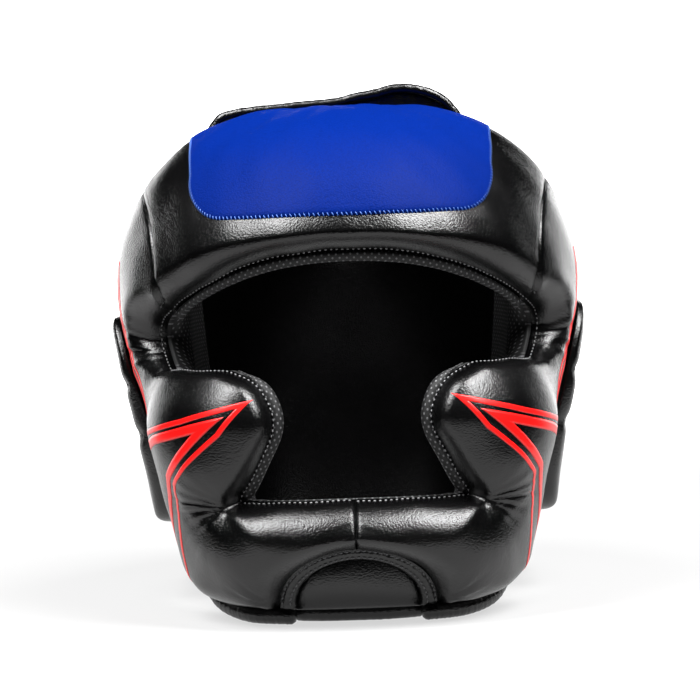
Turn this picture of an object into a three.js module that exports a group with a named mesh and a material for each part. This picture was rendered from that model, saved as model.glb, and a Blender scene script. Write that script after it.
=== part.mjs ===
// Full-face head guard for boxing, in millimetres: +Z up, the face looks along -Y, and the guard stands
// on its jaw bindings and on the flat lower edge of the nape pad. Left and right are the wearer's, so
// left is +X.
// Every soft piece is laid out on one head form. A place on it has an angle round the head (0 at the
// nose, 90 at the left ear, 180 at the nape) and a girth, which is the height above the form's base up
// to the widest level and the length along the dome above that. An offset is the distance out from
// the form.
import * as THREE from 'three';

// Head form: the surface that the lining lies on
const FORM_BASE = 6;
const EQUATOR = 155;
const DOME_RISE = 77.5;
const DOME_ARC = 86;
const HEAD_LEVELS = [
  { girth: 0, halfWidth: 64, front: 84, back: 88, squareness: 2.5 },
  { girth: 55, halfWidth: 70, front: 90, back: 93, squareness: 2.6 },
  { girth: 92, halfWidth: 76, front: 92, back: 97, squareness: 2.6 },
  { girth: 128, halfWidth: 80, front: 92, back: 99, squareness: 2.25 },
  { girth: EQUATOR, halfWidth: 82, front: 91, back: 100, squareness: 2 },
];

// Thickness of the padding in front of the face, over the ears and at the nape
const PADDING = [
  { girth: 0, front: 29, side: 17, back: 29 },
  { girth: 30, front: 33, side: 18.5, back: 31 },
  { girth: 55, front: 35, side: 21, back: 27 },
  { girth: 92, front: 38, side: 26, back: 22 },
  { girth: 128, front: 33, side: 32, back: 22 },
  { girth: EQUATOR, front: 28, side: 34, back: 22 },
  { girth: 185, front: 27, side: 31, back: 21 },
  { girth: 215, front: 22, side: 25, back: 17 },
  { girth: 245, front: 15, side: 16, back: 14 },
  { girth: 282, front: 9, side: 9, back: 9 },
];
const FRONT_PADDING_ENDS = 48;
const SIDE_PADDING_STARTS = 80;
const SIDE_PADDING_ENDS = 95;
const BACK_PADDING_STARTS = 128;

// Edges, skins and gaps
const ROLL_WIDTH = 16;
const EDGE_SHARE = 0.45;
const EDGE_THICKNESS = 1;
const SEAM_DIP = 1.5;
const LINING = 2.2;
const LINING_GAP = 0.8;
const SKIN_GAP = 0.8;
const SEWN_GAP = 0.25;
const ARC_PER_DEGREE = 1.6;
const FLATTENED = 0.3;

// Forehead pad, from seam to seam across the head and back to the crown
const FOREHEAD_SEAM = 62.3;
const FOREHEAD_EDGE = { middle: 171.5, temple: 142, sharpness: 1.6 };
const CROWN_EDGE = 84;
const FOREHEAD_LIP = 4;
const FOREHEAD_COLUMNS = 18;
const FOREHEAD_ROWS = [0, 0.05, 0.13, 0.27, 0.42, 0.57, 0.72, 0.86, 0.95, 1];
const CROWN_LIFT = { even: 3, height: 5, lateral: 20, spread: 15, start: 268, full: 284 };
const CROWN_PIPING = { radius: 3.6, behind: 3.4, proud: 0.4, steps: 44 };
const PANEL = { gap: 1.1, thickness: 1.6, bottom: 180.5, corner: 14, topEnd: 78, columns: 17, rows: 11 };
const PANEL_SIDES = [
  { up: 0, lateral: 34 },
  { up: 0.25, lateral: 39 },
  { up: 0.6, lateral: 46 },
  { up: 1, lateral: 48 },
];

// Cheek pad: side of the head, cheek and half of the chin bar in one piece
const REAR_SEAM = 112;
const ARCH = { foot: 22.5, halfWidth: 33, rise: 29.5, base: 3.6, spread: 0.8 };
const TEMPLE_EDGE = [
  { girth: 114, angle: 63 },
  { girth: 120, angle: 67.5 },
  { girth: 129, angle: 70.5 },
  { girth: 137, angle: 68 },
  { girth: FOREHEAD_EDGE.temple, angle: FOREHEAD_SEAM },
];
const LOBE_EDGE = [
  { girth: 2, angle: ARCH.foot },
  { girth: 55.5, angle: 31 },
  { girth: 65, angle: 27 },
  { girth: 76, angle: 22.6 },
  { girth: 86, angle: 18.8 },
  { girth: 94, angle: 18.2 },
  { girth: 104, angle: 21.3 },
  { girth: 110, angle: 26 },
  { girth: 114, angle: 33 },
];
const CHEEK_TOP = 114;
const CHIN_TOP = 55.5;
const SEAM_ROWS = [
  { sagittal: CROWN_EDGE, rearGirth: 186 },
  { sagittal: 76, rearGirth: 182 },
  { sagittal: 62, rearGirth: 175 },
  { sagittal: 42, rearGirth: 167 },
  { sagittal: 22, rearGirth: 160 },
  { sagittal: 4, rearGirth: 152 },
];
const TEMPLE_ROWS = [FOREHEAD_EDGE.temple, 137, 129, 120];
const CHEEK_ROWS = [CHEEK_TOP, 110, 104, 94, 82, 69, 60];
const JAW_ROWS = [0, 0.12, 0.32, 0.5, 0.68, 0.88, 1];
const SIDE_STEPS = [0, 0.2, 0.4, 0.6, 0.82, 0.93, 1];
const CHEEK_STEPS = [0.25, 0.5, 0.76, 0.91, 1];
const CHIN_STEPS = [0.2, 0.4, 0.6, 0.8, 1];
const MOUTH_LIP = 4;
const JAW_EDGE = [
  { angle: ARCH.foot, girth: ARCH.base },
  { angle: 52, girth: ARCH.base },
  { angle: 63, girth: 5 },
  { angle: 74, girth: 8.5 },
  { angle: 88, girth: 15 },
  { angle: REAR_SEAM, girth: 24 },
];
const JAW_BINDING = { radius: 3.8, from: 24, to: 109, steps: 30, gap: 0.9 };

// Chin: the bound arch, the panel behind it and its hem
const ARCH_BINDING = { width: 5.2, thickness: 4.5, gap: 0.7, lift: 1.5 };
const CHIN_PANEL = { bottom: 1.8, thickness: 9.3, crown: 4, inset: 6.2, from: 3.2, narrower: 4.5 };
const CHIN_PANEL_LEAST = 3;
const CHIN_PANEL_GRID = { rows: 5, columns: 13 };
const CHIN_HEM = { radius: 3.6, reach: 17, offset: 5, points: 9, steps: 14 };

// Ear pads, nape pad and straps
const EAR_PAD = { angle: 104, halfAngle: 21, bottom: 35, top: 135, edge: 2, gap: 1.15 };
const EAR_PROUD = [
  { level: 0, proud: 14.5 },
  { level: 0.5, proud: 10 },
  { level: 1, proud: 7 },
];
const EAR_ROLL = 13;
const EAR_CORNER = { narrowing: 0.45, share: 0.5 };
const EAR_LEVELS = [0, 0.04, 0.12, 0.3, 0.45, 0.49, 0.53, 0.62, 0.685, 0.725, 0.765, 0.87, 0.96, 1];
const EAR_STEPS = [-1, -0.86, -0.6, -0.2, 0.2, 0.6, 0.86, 1];
const EAR_GROOVES = { girths: [84.5, 108.5], depth: 4.2, width: 3.5 };
const NAPE_TOP = { middle: 206, ear: 186 };
const NAPE_COLUMNS = 16;
const NAPE_ROWS = [0, 0.14, 0.3, 0.46, 0.62, 0.77, 0.87, 0.95, 1];
const NAPE_STRAP = { reach: 54.2, bottom: 66, top: 116, thickness: 3, columns: 16, rows: 4 };
const CROWN_STRAP = { halfWidth: 27, thickness: 3, from: 62, to: 160, columns: 8, rows: 14 };

// Leather, lining and webbing
const leather = () => new THREE.MeshStandardMaterial({ color: 0x141415, roughness: 0.38 });
const blueLeather = () => new THREE.MeshStandardMaterial({ color: 0x04229a, roughness: 0.45 });
const lining = () => new THREE.MeshStandardMaterial({ color: 0x1b1b1c, roughness: 0.8 });
const webbing = () => new THREE.MeshStandardMaterial({ color: 0x101011, roughness: 0.75 });

const { clamp, degToRad, lerp, radToDeg, smoothstep } = THREE.MathUtils;

// A column of a table at a key value, on a smooth curve through the rows
function read(table, key, value, column) {
  const last = table.length - 1;
  const at = clamp(value, table[0][key], table[last][key]);
  const next = clamp(table.findIndex((row) => row[key] >= at), 1, last);
  const slope = (i) => {
    const low = table[Math.max(0, i - 1)];
    const high = table[Math.min(last, i + 1)];
    return (high[column] - low[column]) / (high[key] - low[key]);
  };
  const [a, b] = [table[next - 1], table[next]];
  const span = b[key] - a[key];
  const t = (at - a[key]) / span;
  const bend = (1 - t) * slope(next - 1) - t * slope(next);
  const straight = (b[column] - a[column]) / span;
  return lerp(a[column], b[column], t) + t * (1 - t) * span * (bend - (1 - 2 * t) * straight);
}

// Signed power, which squares off the plan of the head
function squared(value, power) {
  return Math.sign(value) * Math.abs(value) ** power;
}

// The point of the bare head form
function formPoint(angle, girth) {
  const level = Math.min(girth, EQUATOR);
  const tilt = Math.max(0, girth - EQUATOR) / DOME_ARC;
  const size = (column) => read(HEAD_LEVELS, 'girth', level, column);
  const power = 2 / size('squareness');
  const across = squared(Math.sin(degToRad(angle)), power);
  const ahead = squared(Math.cos(degToRad(angle)), power);
  const depth = ahead > 0 ? size('front') : size('back');
  return new THREE.Vector3(
    size('halfWidth') * across * Math.cos(tilt),
    -depth * ahead * Math.cos(tilt),
    FORM_BASE + level + DOME_RISE * Math.sin(tilt),
  );
}

// The outward normal of the head form, from points close by
function formNormal(angle, girth) {
  const [turn, climb] = [0.5, 0.5];
  const round = formPoint(angle + turn, girth).sub(formPoint(angle - turn, girth));
  const up = formPoint(angle, girth + climb).sub(formPoint(angle, girth - climb));
  return round.cross(up).normalize();
}

// How far the crown edge of the forehead stands up from the head, most on its left half
function crownLift(place) {
  const { lateral } = crownOf(place);
  const bump = Math.exp(-(((lateral - CROWN_LIFT.lateral) / CROWN_LIFT.spread) ** 2));
  const rise = smoothstep(place.girth, CROWN_LIFT.start, CROWN_LIFT.full);
  return (CROWN_LIFT.even + CROWN_LIFT.height * bump) * rise;
}

// A point at an offset out from the form
function offsetPoint(place, offset) {
  const ahead = Math.abs(place.angle) < 90;
  const lift = ahead && place.girth > CROWN_LIFT.start ? crownLift(place) : 0;
  const normal = formNormal(place.angle, place.girth);
  return formPoint(place.angle, place.girth).addScaledVector(normal, offset + lift);
}

// A place given across and over the head: lateral from the middle to the ear, sagittal from the brow
// over the crown. A sagittal below zero is a height in millimetres under the widest level.
function crownPlace(lateral, sagittal) {
  if (sagittal < 0) return { angle: lateral, girth: EQUATOR + sagittal };
  const [side, over] = [degToRad(lateral), degToRad(sagittal)];
  const ahead = Math.cos(side) * Math.cos(over);
  const tilt = Math.asin(Math.cos(side) * Math.sin(over));
  return { angle: radToDeg(Math.atan2(Math.sin(side), ahead)), girth: EQUATOR + DOME_ARC * tilt };
}

// The lateral and sagittal of a place on the dome
function crownOf({ angle, girth }) {
  const tilt = Math.max(0, girth - EQUATOR) / DOME_ARC;
  const across = Math.cos(tilt) * Math.sin(degToRad(angle));
  const ahead = Math.cos(tilt) * Math.cos(degToRad(angle));
  return { lateral: radToDeg(Math.asin(across)), sagittal: radToDeg(Math.atan2(Math.sin(tilt), ahead)) };
}

// Thickness of the padding at a place
function padding({ angle, girth }) {
  const row = (column) => read(PADDING, 'girth', girth, column);
  const turn = Math.abs(((angle + 540) % 360) - 180);
  const side = smoothstep(turn, FRONT_PADDING_ENDS, SIDE_PADDING_STARTS);
  const back = smoothstep(turn, SIDE_PADDING_ENDS, BACK_PADDING_STARTS);
  return lerp(lerp(row('front'), row('side'), side), row('back'), back);
}

// Distance of a place from the nearest of some edge lines, measured on the form
function edgeDistance(place, edges) {
  const flat = (p) => new THREE.Vector3(p.angle * ARC_PER_DEGREE, p.girth, 0);
  const point = flat(place);
  const nearest = new THREE.Vector3();
  let distance = Infinity;
  for (const edge of edges) {
    for (let i = 1; i < edge.length; i += 1) {
      const line = new THREE.Line3(flat(edge[i - 1]), flat(edge[i]));
      line.closestPointToPoint(point, true, nearest);
      distance = Math.min(distance, nearest.distanceTo(point));
    }
  }
  return distance;
}

// Quarter-round rise from 0 at an edge to 1 at the full width of its roll
function roll(distance, width) {
  const short = 1 - clamp(distance / width, 0, 1);
  return Math.sqrt(1 - short * short);
}

// Offsets of the skin and of the inner face of a pad, rolled towards each other at its free edges
function padOffsets(place, edges) {
  const full = padding(place);
  const rise = place.lip ? 0 : roll(edgeDistance(place, edges), ROLL_WIDTH);
  const edge = Math.max(full * EDGE_SHARE, LINING + LINING_GAP);
  return {
    skin: lerp(edge + EDGE_THICKNESS, full - (place.sewn ? SEAM_DIP : 0), rise),
    inside: lerp(edge, LINING + LINING_GAP, rise),
  };
}

// One closed mesh from nodes with an outer and an inner point, and the four-sided cells between them
function closedShell(nodes, cells, flipped) {
  const positions = nodes.flatMap(({ outer, inner }) => [...outer.toArray(), ...inner.toArray()]);
  const outer = (i) => 2 * i;
  const inner = (i) => 2 * i + 1;
  const index = [];
  const quad = (a, b, c, d) => index.push(...(flipped ? [a, c, b, a, d, c] : [a, b, c, a, c, d]));
  const used = new Set(cells.flatMap((cell) => cell.map((node, i) => `${node}>${cell[(i + 1) % 4]}`)));
  for (const cell of cells) {
    const [a, b, c, d] = cell;
    quad(outer(a), outer(b), outer(c), outer(d));
    quad(inner(a), inner(d), inner(c), inner(b));
    cell.forEach((from, i) => {
      const to = cell[(i + 1) % 4];
      if (!used.has(`${to}>${from}`)) quad(outer(from), inner(from), inner(to), outer(to));
    });
  }
  const geometry = new THREE.BufferGeometry();
  geometry.setAttribute('position', new THREE.Float32BufferAttribute(positions, 3));
  geometry.setIndex(index);
  geometry.computeVertexNormals();
  return geometry;
}

// Cells of a plain grid of rows by columns
function gridCells(rows, columns) {
  const cells = [];
  for (let row = 0; row < rows - 1; row += 1) {
    for (let column = 0; column < columns - 1; column += 1) {
      const corner = row * columns + column;
      cells.push([corner, corner + 1, corner + columns + 1, corner + columns]);
    }
  }
  return cells;
}

// A sheet of even rows and columns: place and offsets come from two functions
function sheet(rows, columns, placeAt, offsetsAt) {
  const nodes = [];
  for (let row = 0; row < rows; row += 1) {
    for (let column = 0; column < columns; column += 1) {
      const place = placeAt(column / (columns - 1), row / (rows - 1));
      const { skin, inside } = offsetsAt(place);
      nodes.push({ outer: offsetPoint(place, skin), inner: offsetPoint(place, inside) });
    }
  }
  return closedShell(nodes, gridCells(rows, columns), false);
}

// A round tube along points, flattened where it would go below the floor
function tube(points, radius, steps) {
  const sides = 8;
  const section = new THREE.Shape();
  for (let i = 0; i < sides; i += 1) {
    const turn = (i / sides) * 2 * Math.PI;
    section[i ? 'lineTo' : 'moveTo'](radius * Math.cos(turn), radius * Math.sin(turn));
  }
  const extrudePath = new THREE.CatmullRomCurve3(points);
  const geometry = new THREE.ExtrudeGeometry(section, { steps, extrudePath });
  const position = geometry.getAttribute('position');
  for (let i = 0; i < position.count; i += 1) position.setZ(i, Math.max(0, position.getZ(i)));
  return geometry;
}

function piece(name, geometry, material) {
  const mesh = new THREE.Mesh(geometry, material);
  mesh.name = name;
  return mesh;
}

// Forehead pad and lining

// A girth in the sagittal measure of crownPlace
function sagittalAt(lateral, girth) {
  if (girth < EQUATOR) return girth - EQUATOR;
  const tilt = (girth - EQUATOR) / DOME_ARC;
  return radToDeg(Math.asin(Math.sin(tilt) / Math.cos(degToRad(lateral))));
}

// The lower edge of the forehead, raised by some millimetres, in the same measure
function browEdge(lateral, raised) {
  const { middle, temple, sharpness } = FOREHEAD_EDGE;
  const out = (Math.abs(lateral) / FOREHEAD_SEAM) ** sharpness;
  return sagittalAt(lateral, lerp(middle, temple, out) + raised);
}

// Rows run up from the brow and columns from the right temple to the left one
function foreheadPlaces(lip) {
  const rows = FOREHEAD_ROWS.map((share) => {
    const line = [];
    for (let i = 0; i <= FOREHEAD_COLUMNS; i += 1) {
      const across = (2 * i) / FOREHEAD_COLUMNS - 1;
      const lateral = across * (FOREHEAD_SEAM - SEWN_GAP);
      const brow = browEdge(lateral, share ? 0 : -lip);
      const sewn = Math.abs(across) === 1;
      const edge = { sewn, lip: lip > 0 && share === 0 };
      line.push({ ...crownPlace(lateral, lerp(brow, CROWN_EDGE, share)), ...edge });
    }
    return line;
  });
  return rows;
}

const foreheadRows = foreheadPlaces(0);
const foreheadEdges = [foreheadRows[0], foreheadRows.at(-1)];

function foreheadShell(lip, offsetsAt) {
  const rows = foreheadPlaces(lip);
  const nodes = rows.flat().map((place) => {
    const { skin, inside } = offsetsAt(place);
    return { outer: offsetPoint(place, skin), inner: offsetPoint(place, inside) };
  });
  return closedShell(nodes, gridCells(rows.length, rows[0].length), false);
}

function liningOffsets(place, edges) {
  const { inside } = padOffsets(place, edges);
  return { skin: inside - LINING_GAP, inside: inside - LINING_GAP - LINING };
}

function foreheadPad() {
  return foreheadShell(0, (place) => padOffsets(place, foreheadEdges));
}

function foreheadLining() {
  return foreheadShell(FOREHEAD_LIP, (place) => liningOffsets(place, foreheadEdges));
}

// The coloured panel on the brow, with a level lower edge and round lower corners
function foreheadPanel() {
  const placeAt = (across, up) => {
    const side = Math.sin(Math.PI * (across - 0.5));
    const half = read(PANEL_SIDES, 'up', up, 'lateral');
    const lateral = side * half;
    const fromSide = (1 - Math.abs(side)) * half * ARC_PER_DEGREE;
    const corner = PANEL.corner * (1 - roll(fromSide, PANEL.corner));
    const bottom = sagittalAt(lateral, PANEL.bottom + corner);
    return crownPlace(lateral, lerp(bottom, PANEL.topEnd, up));
  };
  return sheet(PANEL.rows, PANEL.columns, placeAt, (place) => {
    const skin = padOffsets(place, foreheadEdges).skin + PANEL.gap;
    return { skin: skin + PANEL.thickness, inside: skin };
  });
}

// The leather roll that binds the crown edge
function crownPiping() {
  const points = foreheadRows.at(-1).map((place) => {
    const { lateral, sagittal } = crownOf(place);
    const behind = radToDeg(CROWN_PIPING.behind / DOME_ARC);
    const reach = behind / Math.max(0.45, Math.cos(degToRad(lateral)));
    const seat = crownPlace(lateral, sagittal + reach);
    return offsetPoint(seat, padOffsets(place, foreheadEdges).skin + CROWN_PIPING.proud);
  });
  return tube(points, CROWN_PIPING.radius, CROWN_PIPING.steps);
}

// Cheek pads and linings

// The lower edge: the arch under the chin, then the jaw back to the nape
function jawEdge(angle) {
  if (angle >= ARCH.foot) return read(JAW_EDGE, 'angle', angle, 'girth');
  const out = (Math.sin(degToRad(angle)) / Math.sin(degToRad(ARCH.foot))) ** ARCH.spread;
  return ARCH.base + ARCH.rise * Math.sqrt(1 - out * out);
}

// Rows run down the side of the head. The upper ones end at the temple, the cheek's own at the lobe
// beside the mouth and the jaw's at the middle of the chin.
function cheekPlaces() {
  const lobe = (girth) => read(LOBE_EDGE, 'girth', girth, 'angle');
  const temple = (girth) => read(TEMPLE_EDGE, 'girth', girth, 'angle');
  const line = (front, rearGirth, girthAt) =>
    SIDE_STEPS.map((share) => {
      const angle = lerp(REAR_SEAM - SEWN_GAP, front.angle, share);
      return { angle, girth: girthAt(angle) ?? lerp(rearGirth, front.girth, share) };
    });
  const cheekLine = (from, to, girthAt) =>
    CHEEK_STEPS.map((share) => {
      const angle = lerp(from, to, share);
      return { angle, girth: girthAt(angle) };
    });
  const rows = SEAM_ROWS.map(({ sagittal, rearGirth }) => {
    const front = crownPlace(FOREHEAD_SEAM + SEWN_GAP, sagittal);
    const row = line(front, rearGirth, () => undefined);
    row.at(-1).sewn = true;
    return row;
  });
  for (const girth of TEMPLE_ROWS) rows.push(line({ angle: temple(girth) }, girth, () => girth));
  for (const girth of CHEEK_ROWS) {
    const row = line({ angle: TEMPLE_EDGE[0].angle }, girth, () => girth);
    rows.push([...row, ...cheekLine(TEMPLE_EDGE[0].angle, lobe(girth), () => girth)]);
  }
  for (const share of JAW_ROWS) {
    const girthAt = (angle) => lerp(CHIN_TOP, jawEdge(angle), share);
    const foot = lobe(lerp(CHIN_TOP, LOBE_EDGE[0].girth, share));
    const row = line({ angle: TEMPLE_EDGE[0].angle }, 0, girthAt);
    const cheek = cheekLine(TEMPLE_EDGE[0].angle, foot, girthAt);
    const chin = CHIN_STEPS.map((step) => {
      const angle = lerp(cheek.at(-1).angle, 0, step);
      return { angle, girth: girthAt(angle) };
    });
    rows.push([...row, ...cheek, ...chin]);
  }
  return rows;
}

const cheekRows = cheekPlaces();
const cheekTopRow = SEAM_ROWS.length + TEMPLE_ROWS.length;
const chinTopRow = cheekTopRow + CHEEK_ROWS.length;
const sideColumns = SIDE_STEPS.length;
const lobeColumn = sideColumns + CHEEK_STEPS.length - 1;
const cheekEdges = [
  cheekRows[0],
  [
    ...cheekRows.slice(SEAM_ROWS.length, cheekTopRow).map((row) => row.at(-1)),
    ...cheekRows[cheekTopRow].slice(sideColumns - 1),
    ...cheekRows.slice(cheekTopRow + 1, chinTopRow).map((row) => row.at(-1)),
    ...cheekRows[chinTopRow].slice(lobeColumn),
  ],
  cheekRows.at(-1),
];

// The same rows with the edge of the eye and mouth openings moved out by the lip of the lining
function lippedRows() {
  const moved = (place, round, up) => ({
    angle: place.angle - (round * MOUTH_LIP) / ARC_PER_DEGREE,
    girth: place.girth + up * MOUTH_LIP,
    lip: true,
  });
  return cheekRows.map((row, i) => row.map((place, column) => {
    const last = column === row.length - 1;
    if (i > SEAM_ROWS.length && i < cheekTopRow && last) return moved(place, 0.5, 0);
    if (i === cheekTopRow && column >= sideColumns && !last) return moved(place, 0, 0.3);
    if (i >= cheekTopRow && i <= chinTopRow && column === lobeColumn) return moved(place, 1, 0);
    if (i === chinTopRow && column > lobeColumn) return moved(place, 0, 0.3);
    return place;
  }));
}

// Cells between two rows of the cheek pad reach as far as the shorter row
function cheekCells(rows) {
  const starts = [];
  rows.reduce((count, row, i) => {
    starts[i] = count;
    return count + row.length;
  }, 0);
  const cells = [];
  for (let row = 0; row < rows.length - 1; row += 1) {
    for (let column = 0; column < rows[row].length - 1; column += 1) {
      const [top, under] = [starts[row] + column, starts[row + 1] + column];
      cells.push([top, under, under + 1, top + 1]);
    }
  }
  return cells;
}

function cheekShell(side, rows, offsetsAt) {
  const nodes = rows.flat().map((place) => {
    const { skin, inside } = offsetsAt(place);
    const points = [skin, inside].map((offset) => {
      const point = offsetPoint(place, offset);
      return new THREE.Vector3(side * Math.max(SEWN_GAP, point.x), point.y, point.z);
    });
    return { outer: points[0], inner: points[1] };
  });
  return closedShell(nodes, cheekCells(rows), side > 0);
}

function cheekPad(side) {
  return cheekShell(side, cheekRows, (place) => padOffsets(place, cheekEdges));
}

function cheekLining(side) {
  return cheekShell(side, lippedRows(), (place) => liningOffsets(place, cheekEdges));
}

// The gathered roll along the jaw, which the guard stands on
function jawBinding(side) {
  const { from, gap, radius, steps, to } = JAW_BINDING;
  const points = [];
  for (let i = 0; i <= steps / 2; i += 1) {
    const angle = lerp(from, to, (2 * i) / steps);
    const edge = { angle, girth: jawEdge(angle) };
    const point = offsetPoint(edge, padding(edge) * EDGE_SHARE);
    const height = Math.max(radius - FLATTENED, point.z - radius - gap);
    points.push(new THREE.Vector3(side * point.x, point.y, height));
  }
  return tube(points, radius, steps);
}

// Chin pieces

// The arch drawn flat, in millimetres across and up
function archPoint(angle) {
  const share = squared(Math.sin(degToRad(angle)) / Math.sin(degToRad(ARCH.foot)), ARCH.spread);
  const inside = Math.max(0, 1 - share * share);
  return [ARCH.halfWidth * share, ARCH.base + ARCH.rise * Math.sqrt(inside)];
}

// The strip that binds the arch under the chin bar, bent where the edge of the pads is
function archBinding() {
  const half = CHIN_STEPS.map((step) => ARCH.foot * step);
  const angles = [...half.map((angle) => -angle).reverse(), 0, ...half];
  const middle = padding({ angle: 0, girth: ARCH.base }) * EDGE_SHARE + ARCH_BINDING.lift;
  const offsets = [1, -1].map((way) => middle + (way * ARCH_BINDING.thickness) / 2);
  const insets = [ARCH_BINDING.gap, ARCH_BINDING.gap + ARCH_BINDING.width];
  const nodes = insets.flatMap((inset) => angles.map((angle) => {
    const place = archPlace(angle, inset);
    const [outer, inner] = offsets.map((offset) => offsetPoint(place, offset));
    return { outer, inner };
  }));
  return closedShell(nodes, gridCells(insets.length, angles.length), true);
}

// A place inside the arch, a distance in from its edge
function archPlace(angle, inset) {
  const [across, up] = archPoint(angle);
  const [nextAcross, nextUp] = archPoint(angle + 0.4);
  const [backAcross, backUp] = archPoint(angle - 0.4);
  const along = new THREE.Vector2(nextAcross - backAcross, nextUp - backUp).normalize();
  const [inAcross, inUp] = [across + along.y * inset, up - along.x * inset];
  const share = clamp(inAcross / ARCH.halfWidth, -1, 1);
  const sine = squared(share, 1 / ARCH.spread) * Math.sin(degToRad(ARCH.foot));
  return { angle: radToDeg(Math.asin(sine)), girth: Math.max(inUp, 0) };
}

// The soft panel that closes the arch from behind
function chinPanel() {
  const { bottom, crown, from, inset, narrower, thickness } = CHIN_PANEL;
  const placeAt = (across, up) => {
    const edge = archPlace(lerp(-1, 1, across) * (ARCH.foot - narrower), inset);
    const top = Math.max(edge.girth, bottom + CHIN_PANEL_LEAST);
    return { angle: edge.angle, girth: lerp(bottom, top, up), across, up };
  };
  return sheet(CHIN_PANEL_GRID.rows, CHIN_PANEL_GRID.columns, placeAt, ({ across, up }) => {
    const dome = Math.sin(Math.PI * across) * Math.sin(Math.PI * up);
    return { skin: from + thickness + crown * Math.sqrt(Math.max(0, dome)), inside: from };
  });
}

function chinHem() {
  const { offset, points, radius, reach, steps } = CHIN_HEM;
  const path = Array.from({ length: points }, (_, i) => {
    const angle = lerp(-reach, reach, i / (points - 1));
    return offsetPoint({ angle, girth: radius }, offset).setZ(radius - FLATTENED);
  });
  return tube(path, radius, steps);
}

// Ear pads, nape pad and straps

// A padded flap over the ear, sewn across in two grooves
function earPad(side) {
  const { angle, bottom, edge, gap, halfAngle, top } = EAR_PAD;
  const middle = (bottom + top) / 2;
  const half = (top - bottom) / 2;
  const nodes = EAR_LEVELS.flatMap((level) => EAR_STEPS.map((step) => {
    const girth = lerp(bottom, top, level);
    const fromEnd = half - Math.abs(girth - middle);
    const rounding = 1 - EAR_CORNER.narrowing * (1 - roll(fromEnd, half * EAR_CORNER.share));
    const place = { angle: angle + step * halfAngle * rounding, girth };
    const fromSide = (1 - Math.abs(step)) * halfAngle * ARC_PER_DEGREE;
    const nearest = Math.min(...EAR_GROOVES.girths.map((groove) => Math.abs(girth - groove)));
    const groove = EAR_GROOVES.depth * (1 - roll(nearest, EAR_GROOVES.width));
    const proud = read(EAR_PROUD, 'level', level, 'proud');
    const base = padding(place) + gap;
    const skin = base + lerp(edge, proud, roll(Math.min(fromSide, fromEnd), EAR_ROLL)) - groove;
    const [outer, inner] = [skin, base].map((offset) => {
      const point = offsetPoint(place, offset);
      return point.setX(side * point.x);
    });
    return { outer, inner };
  }));
  return closedShell(nodes, gridCells(EAR_LEVELS.length, EAR_STEPS.length), side < 0);
}

// The pad round the nape, with a flat lower edge on the floor
const napeRows = NAPE_ROWS.map((share) => {
  const row = [];
  for (let i = 0; i <= NAPE_COLUMNS; i += 1) {
    const angle = lerp(REAR_SEAM + SEWN_GAP, 360 - REAR_SEAM - SEWN_GAP, i / NAPE_COLUMNS);
    const out = ((angle - 180) / (180 - REAR_SEAM)) ** 2;
    row.push({ angle, girth: share * lerp(NAPE_TOP.middle, NAPE_TOP.ear, out) });
  }
  return row;
});

function napePad() {
  const nodes = napeRows.flatMap((row, i) => row.map((place) => {
    const { skin, inside } = padOffsets(place, [napeRows.at(-1)]);
    const [outer, inner] = [skin, inside - LINING - LINING_GAP].map((offset) => offsetPoint(place, offset));
    if (i === 0) {
      outer.setZ(0);
      inner.setZ(0);
    }
    return { outer, inner };
  }));
  return closedShell(nodes, gridCells(napeRows.length, NAPE_COLUMNS + 1), false);
}

// The closing strap across the nape
function napeStrap() {
  const { bottom, columns, reach, rows, thickness, top } = NAPE_STRAP;
  const placeAt = (across, up) => ({
    angle: 180 + lerp(-reach, reach, across),
    girth: lerp(bottom, top, up),
  });
  return sheet(rows, columns + 1, placeAt, (place) => {
    const skin = padding(place) + SKIN_GAP;
    return { skin: skin + thickness, inside: skin };
  });
}

// The strap from the nape pad over the crown, under the crown edge of the forehead
function crownStrap() {
  const { columns, from, halfWidth, rows, thickness, to } = CROWN_STRAP;
  const placeAt = (across, up) => crownPlace(lerp(-halfWidth, halfWidth, across), lerp(from, to, up));
  return sheet(rows, columns + 1, placeAt, () => ({ skin: -SKIN_GAP, inside: -SKIN_GAP - thickness }));
}

const guard = new THREE.Group();
guard.add(
  piece('forehead_pad', foreheadPad(), leather()),
  piece('forehead_panel', foreheadPanel(), blueLeather()),
  piece('forehead_lining', foreheadLining(), lining()),
  piece('crown_piping', crownPiping(), leather()),
  piece('chin_arch_binding', archBinding(), leather()),
  piece('chin_panel', chinPanel(), leather()),
  piece('chin_hem', chinHem(), leather()),
  piece('nape_pad', napePad(), leather()),
  piece('nape_strap', napeStrap(), webbing()),
  piece('crown_strap', crownStrap(), webbing()),
);
for (const [name, side] of [['left', 1], ['right', -1]]) {
  guard.add(
    piece(`cheek_pad_${name}`, cheekPad(side), leather()),
    piece(`cheek_lining_${name}`, cheekLining(side), lining()),
    piece(`jaw_binding_${name}`, jawBinding(side), leather()),
    piece(`ear_pad_${name}`, earPad(side), leather()),
  );
}

// The origin lies on the floor under the middle of the guard
const box = new THREE.Box3().setFromObject(guard, true);
guard.position.set(0, -(box.min.y + box.max.y) / 2, -box.min.z);

export default guard;
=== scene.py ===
"""Looks of a padded full-face head guard, dressed on the frame of its CAD model."""

import logging
import math
from dataclasses import dataclass
from enum import Enum
from typing import Callable, NamedTuple, Sequence

import bmesh
import bpy
import numpy as np
from mathutils import Matrix, Vector
from mathutils.bvhtree import BVHTree


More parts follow.
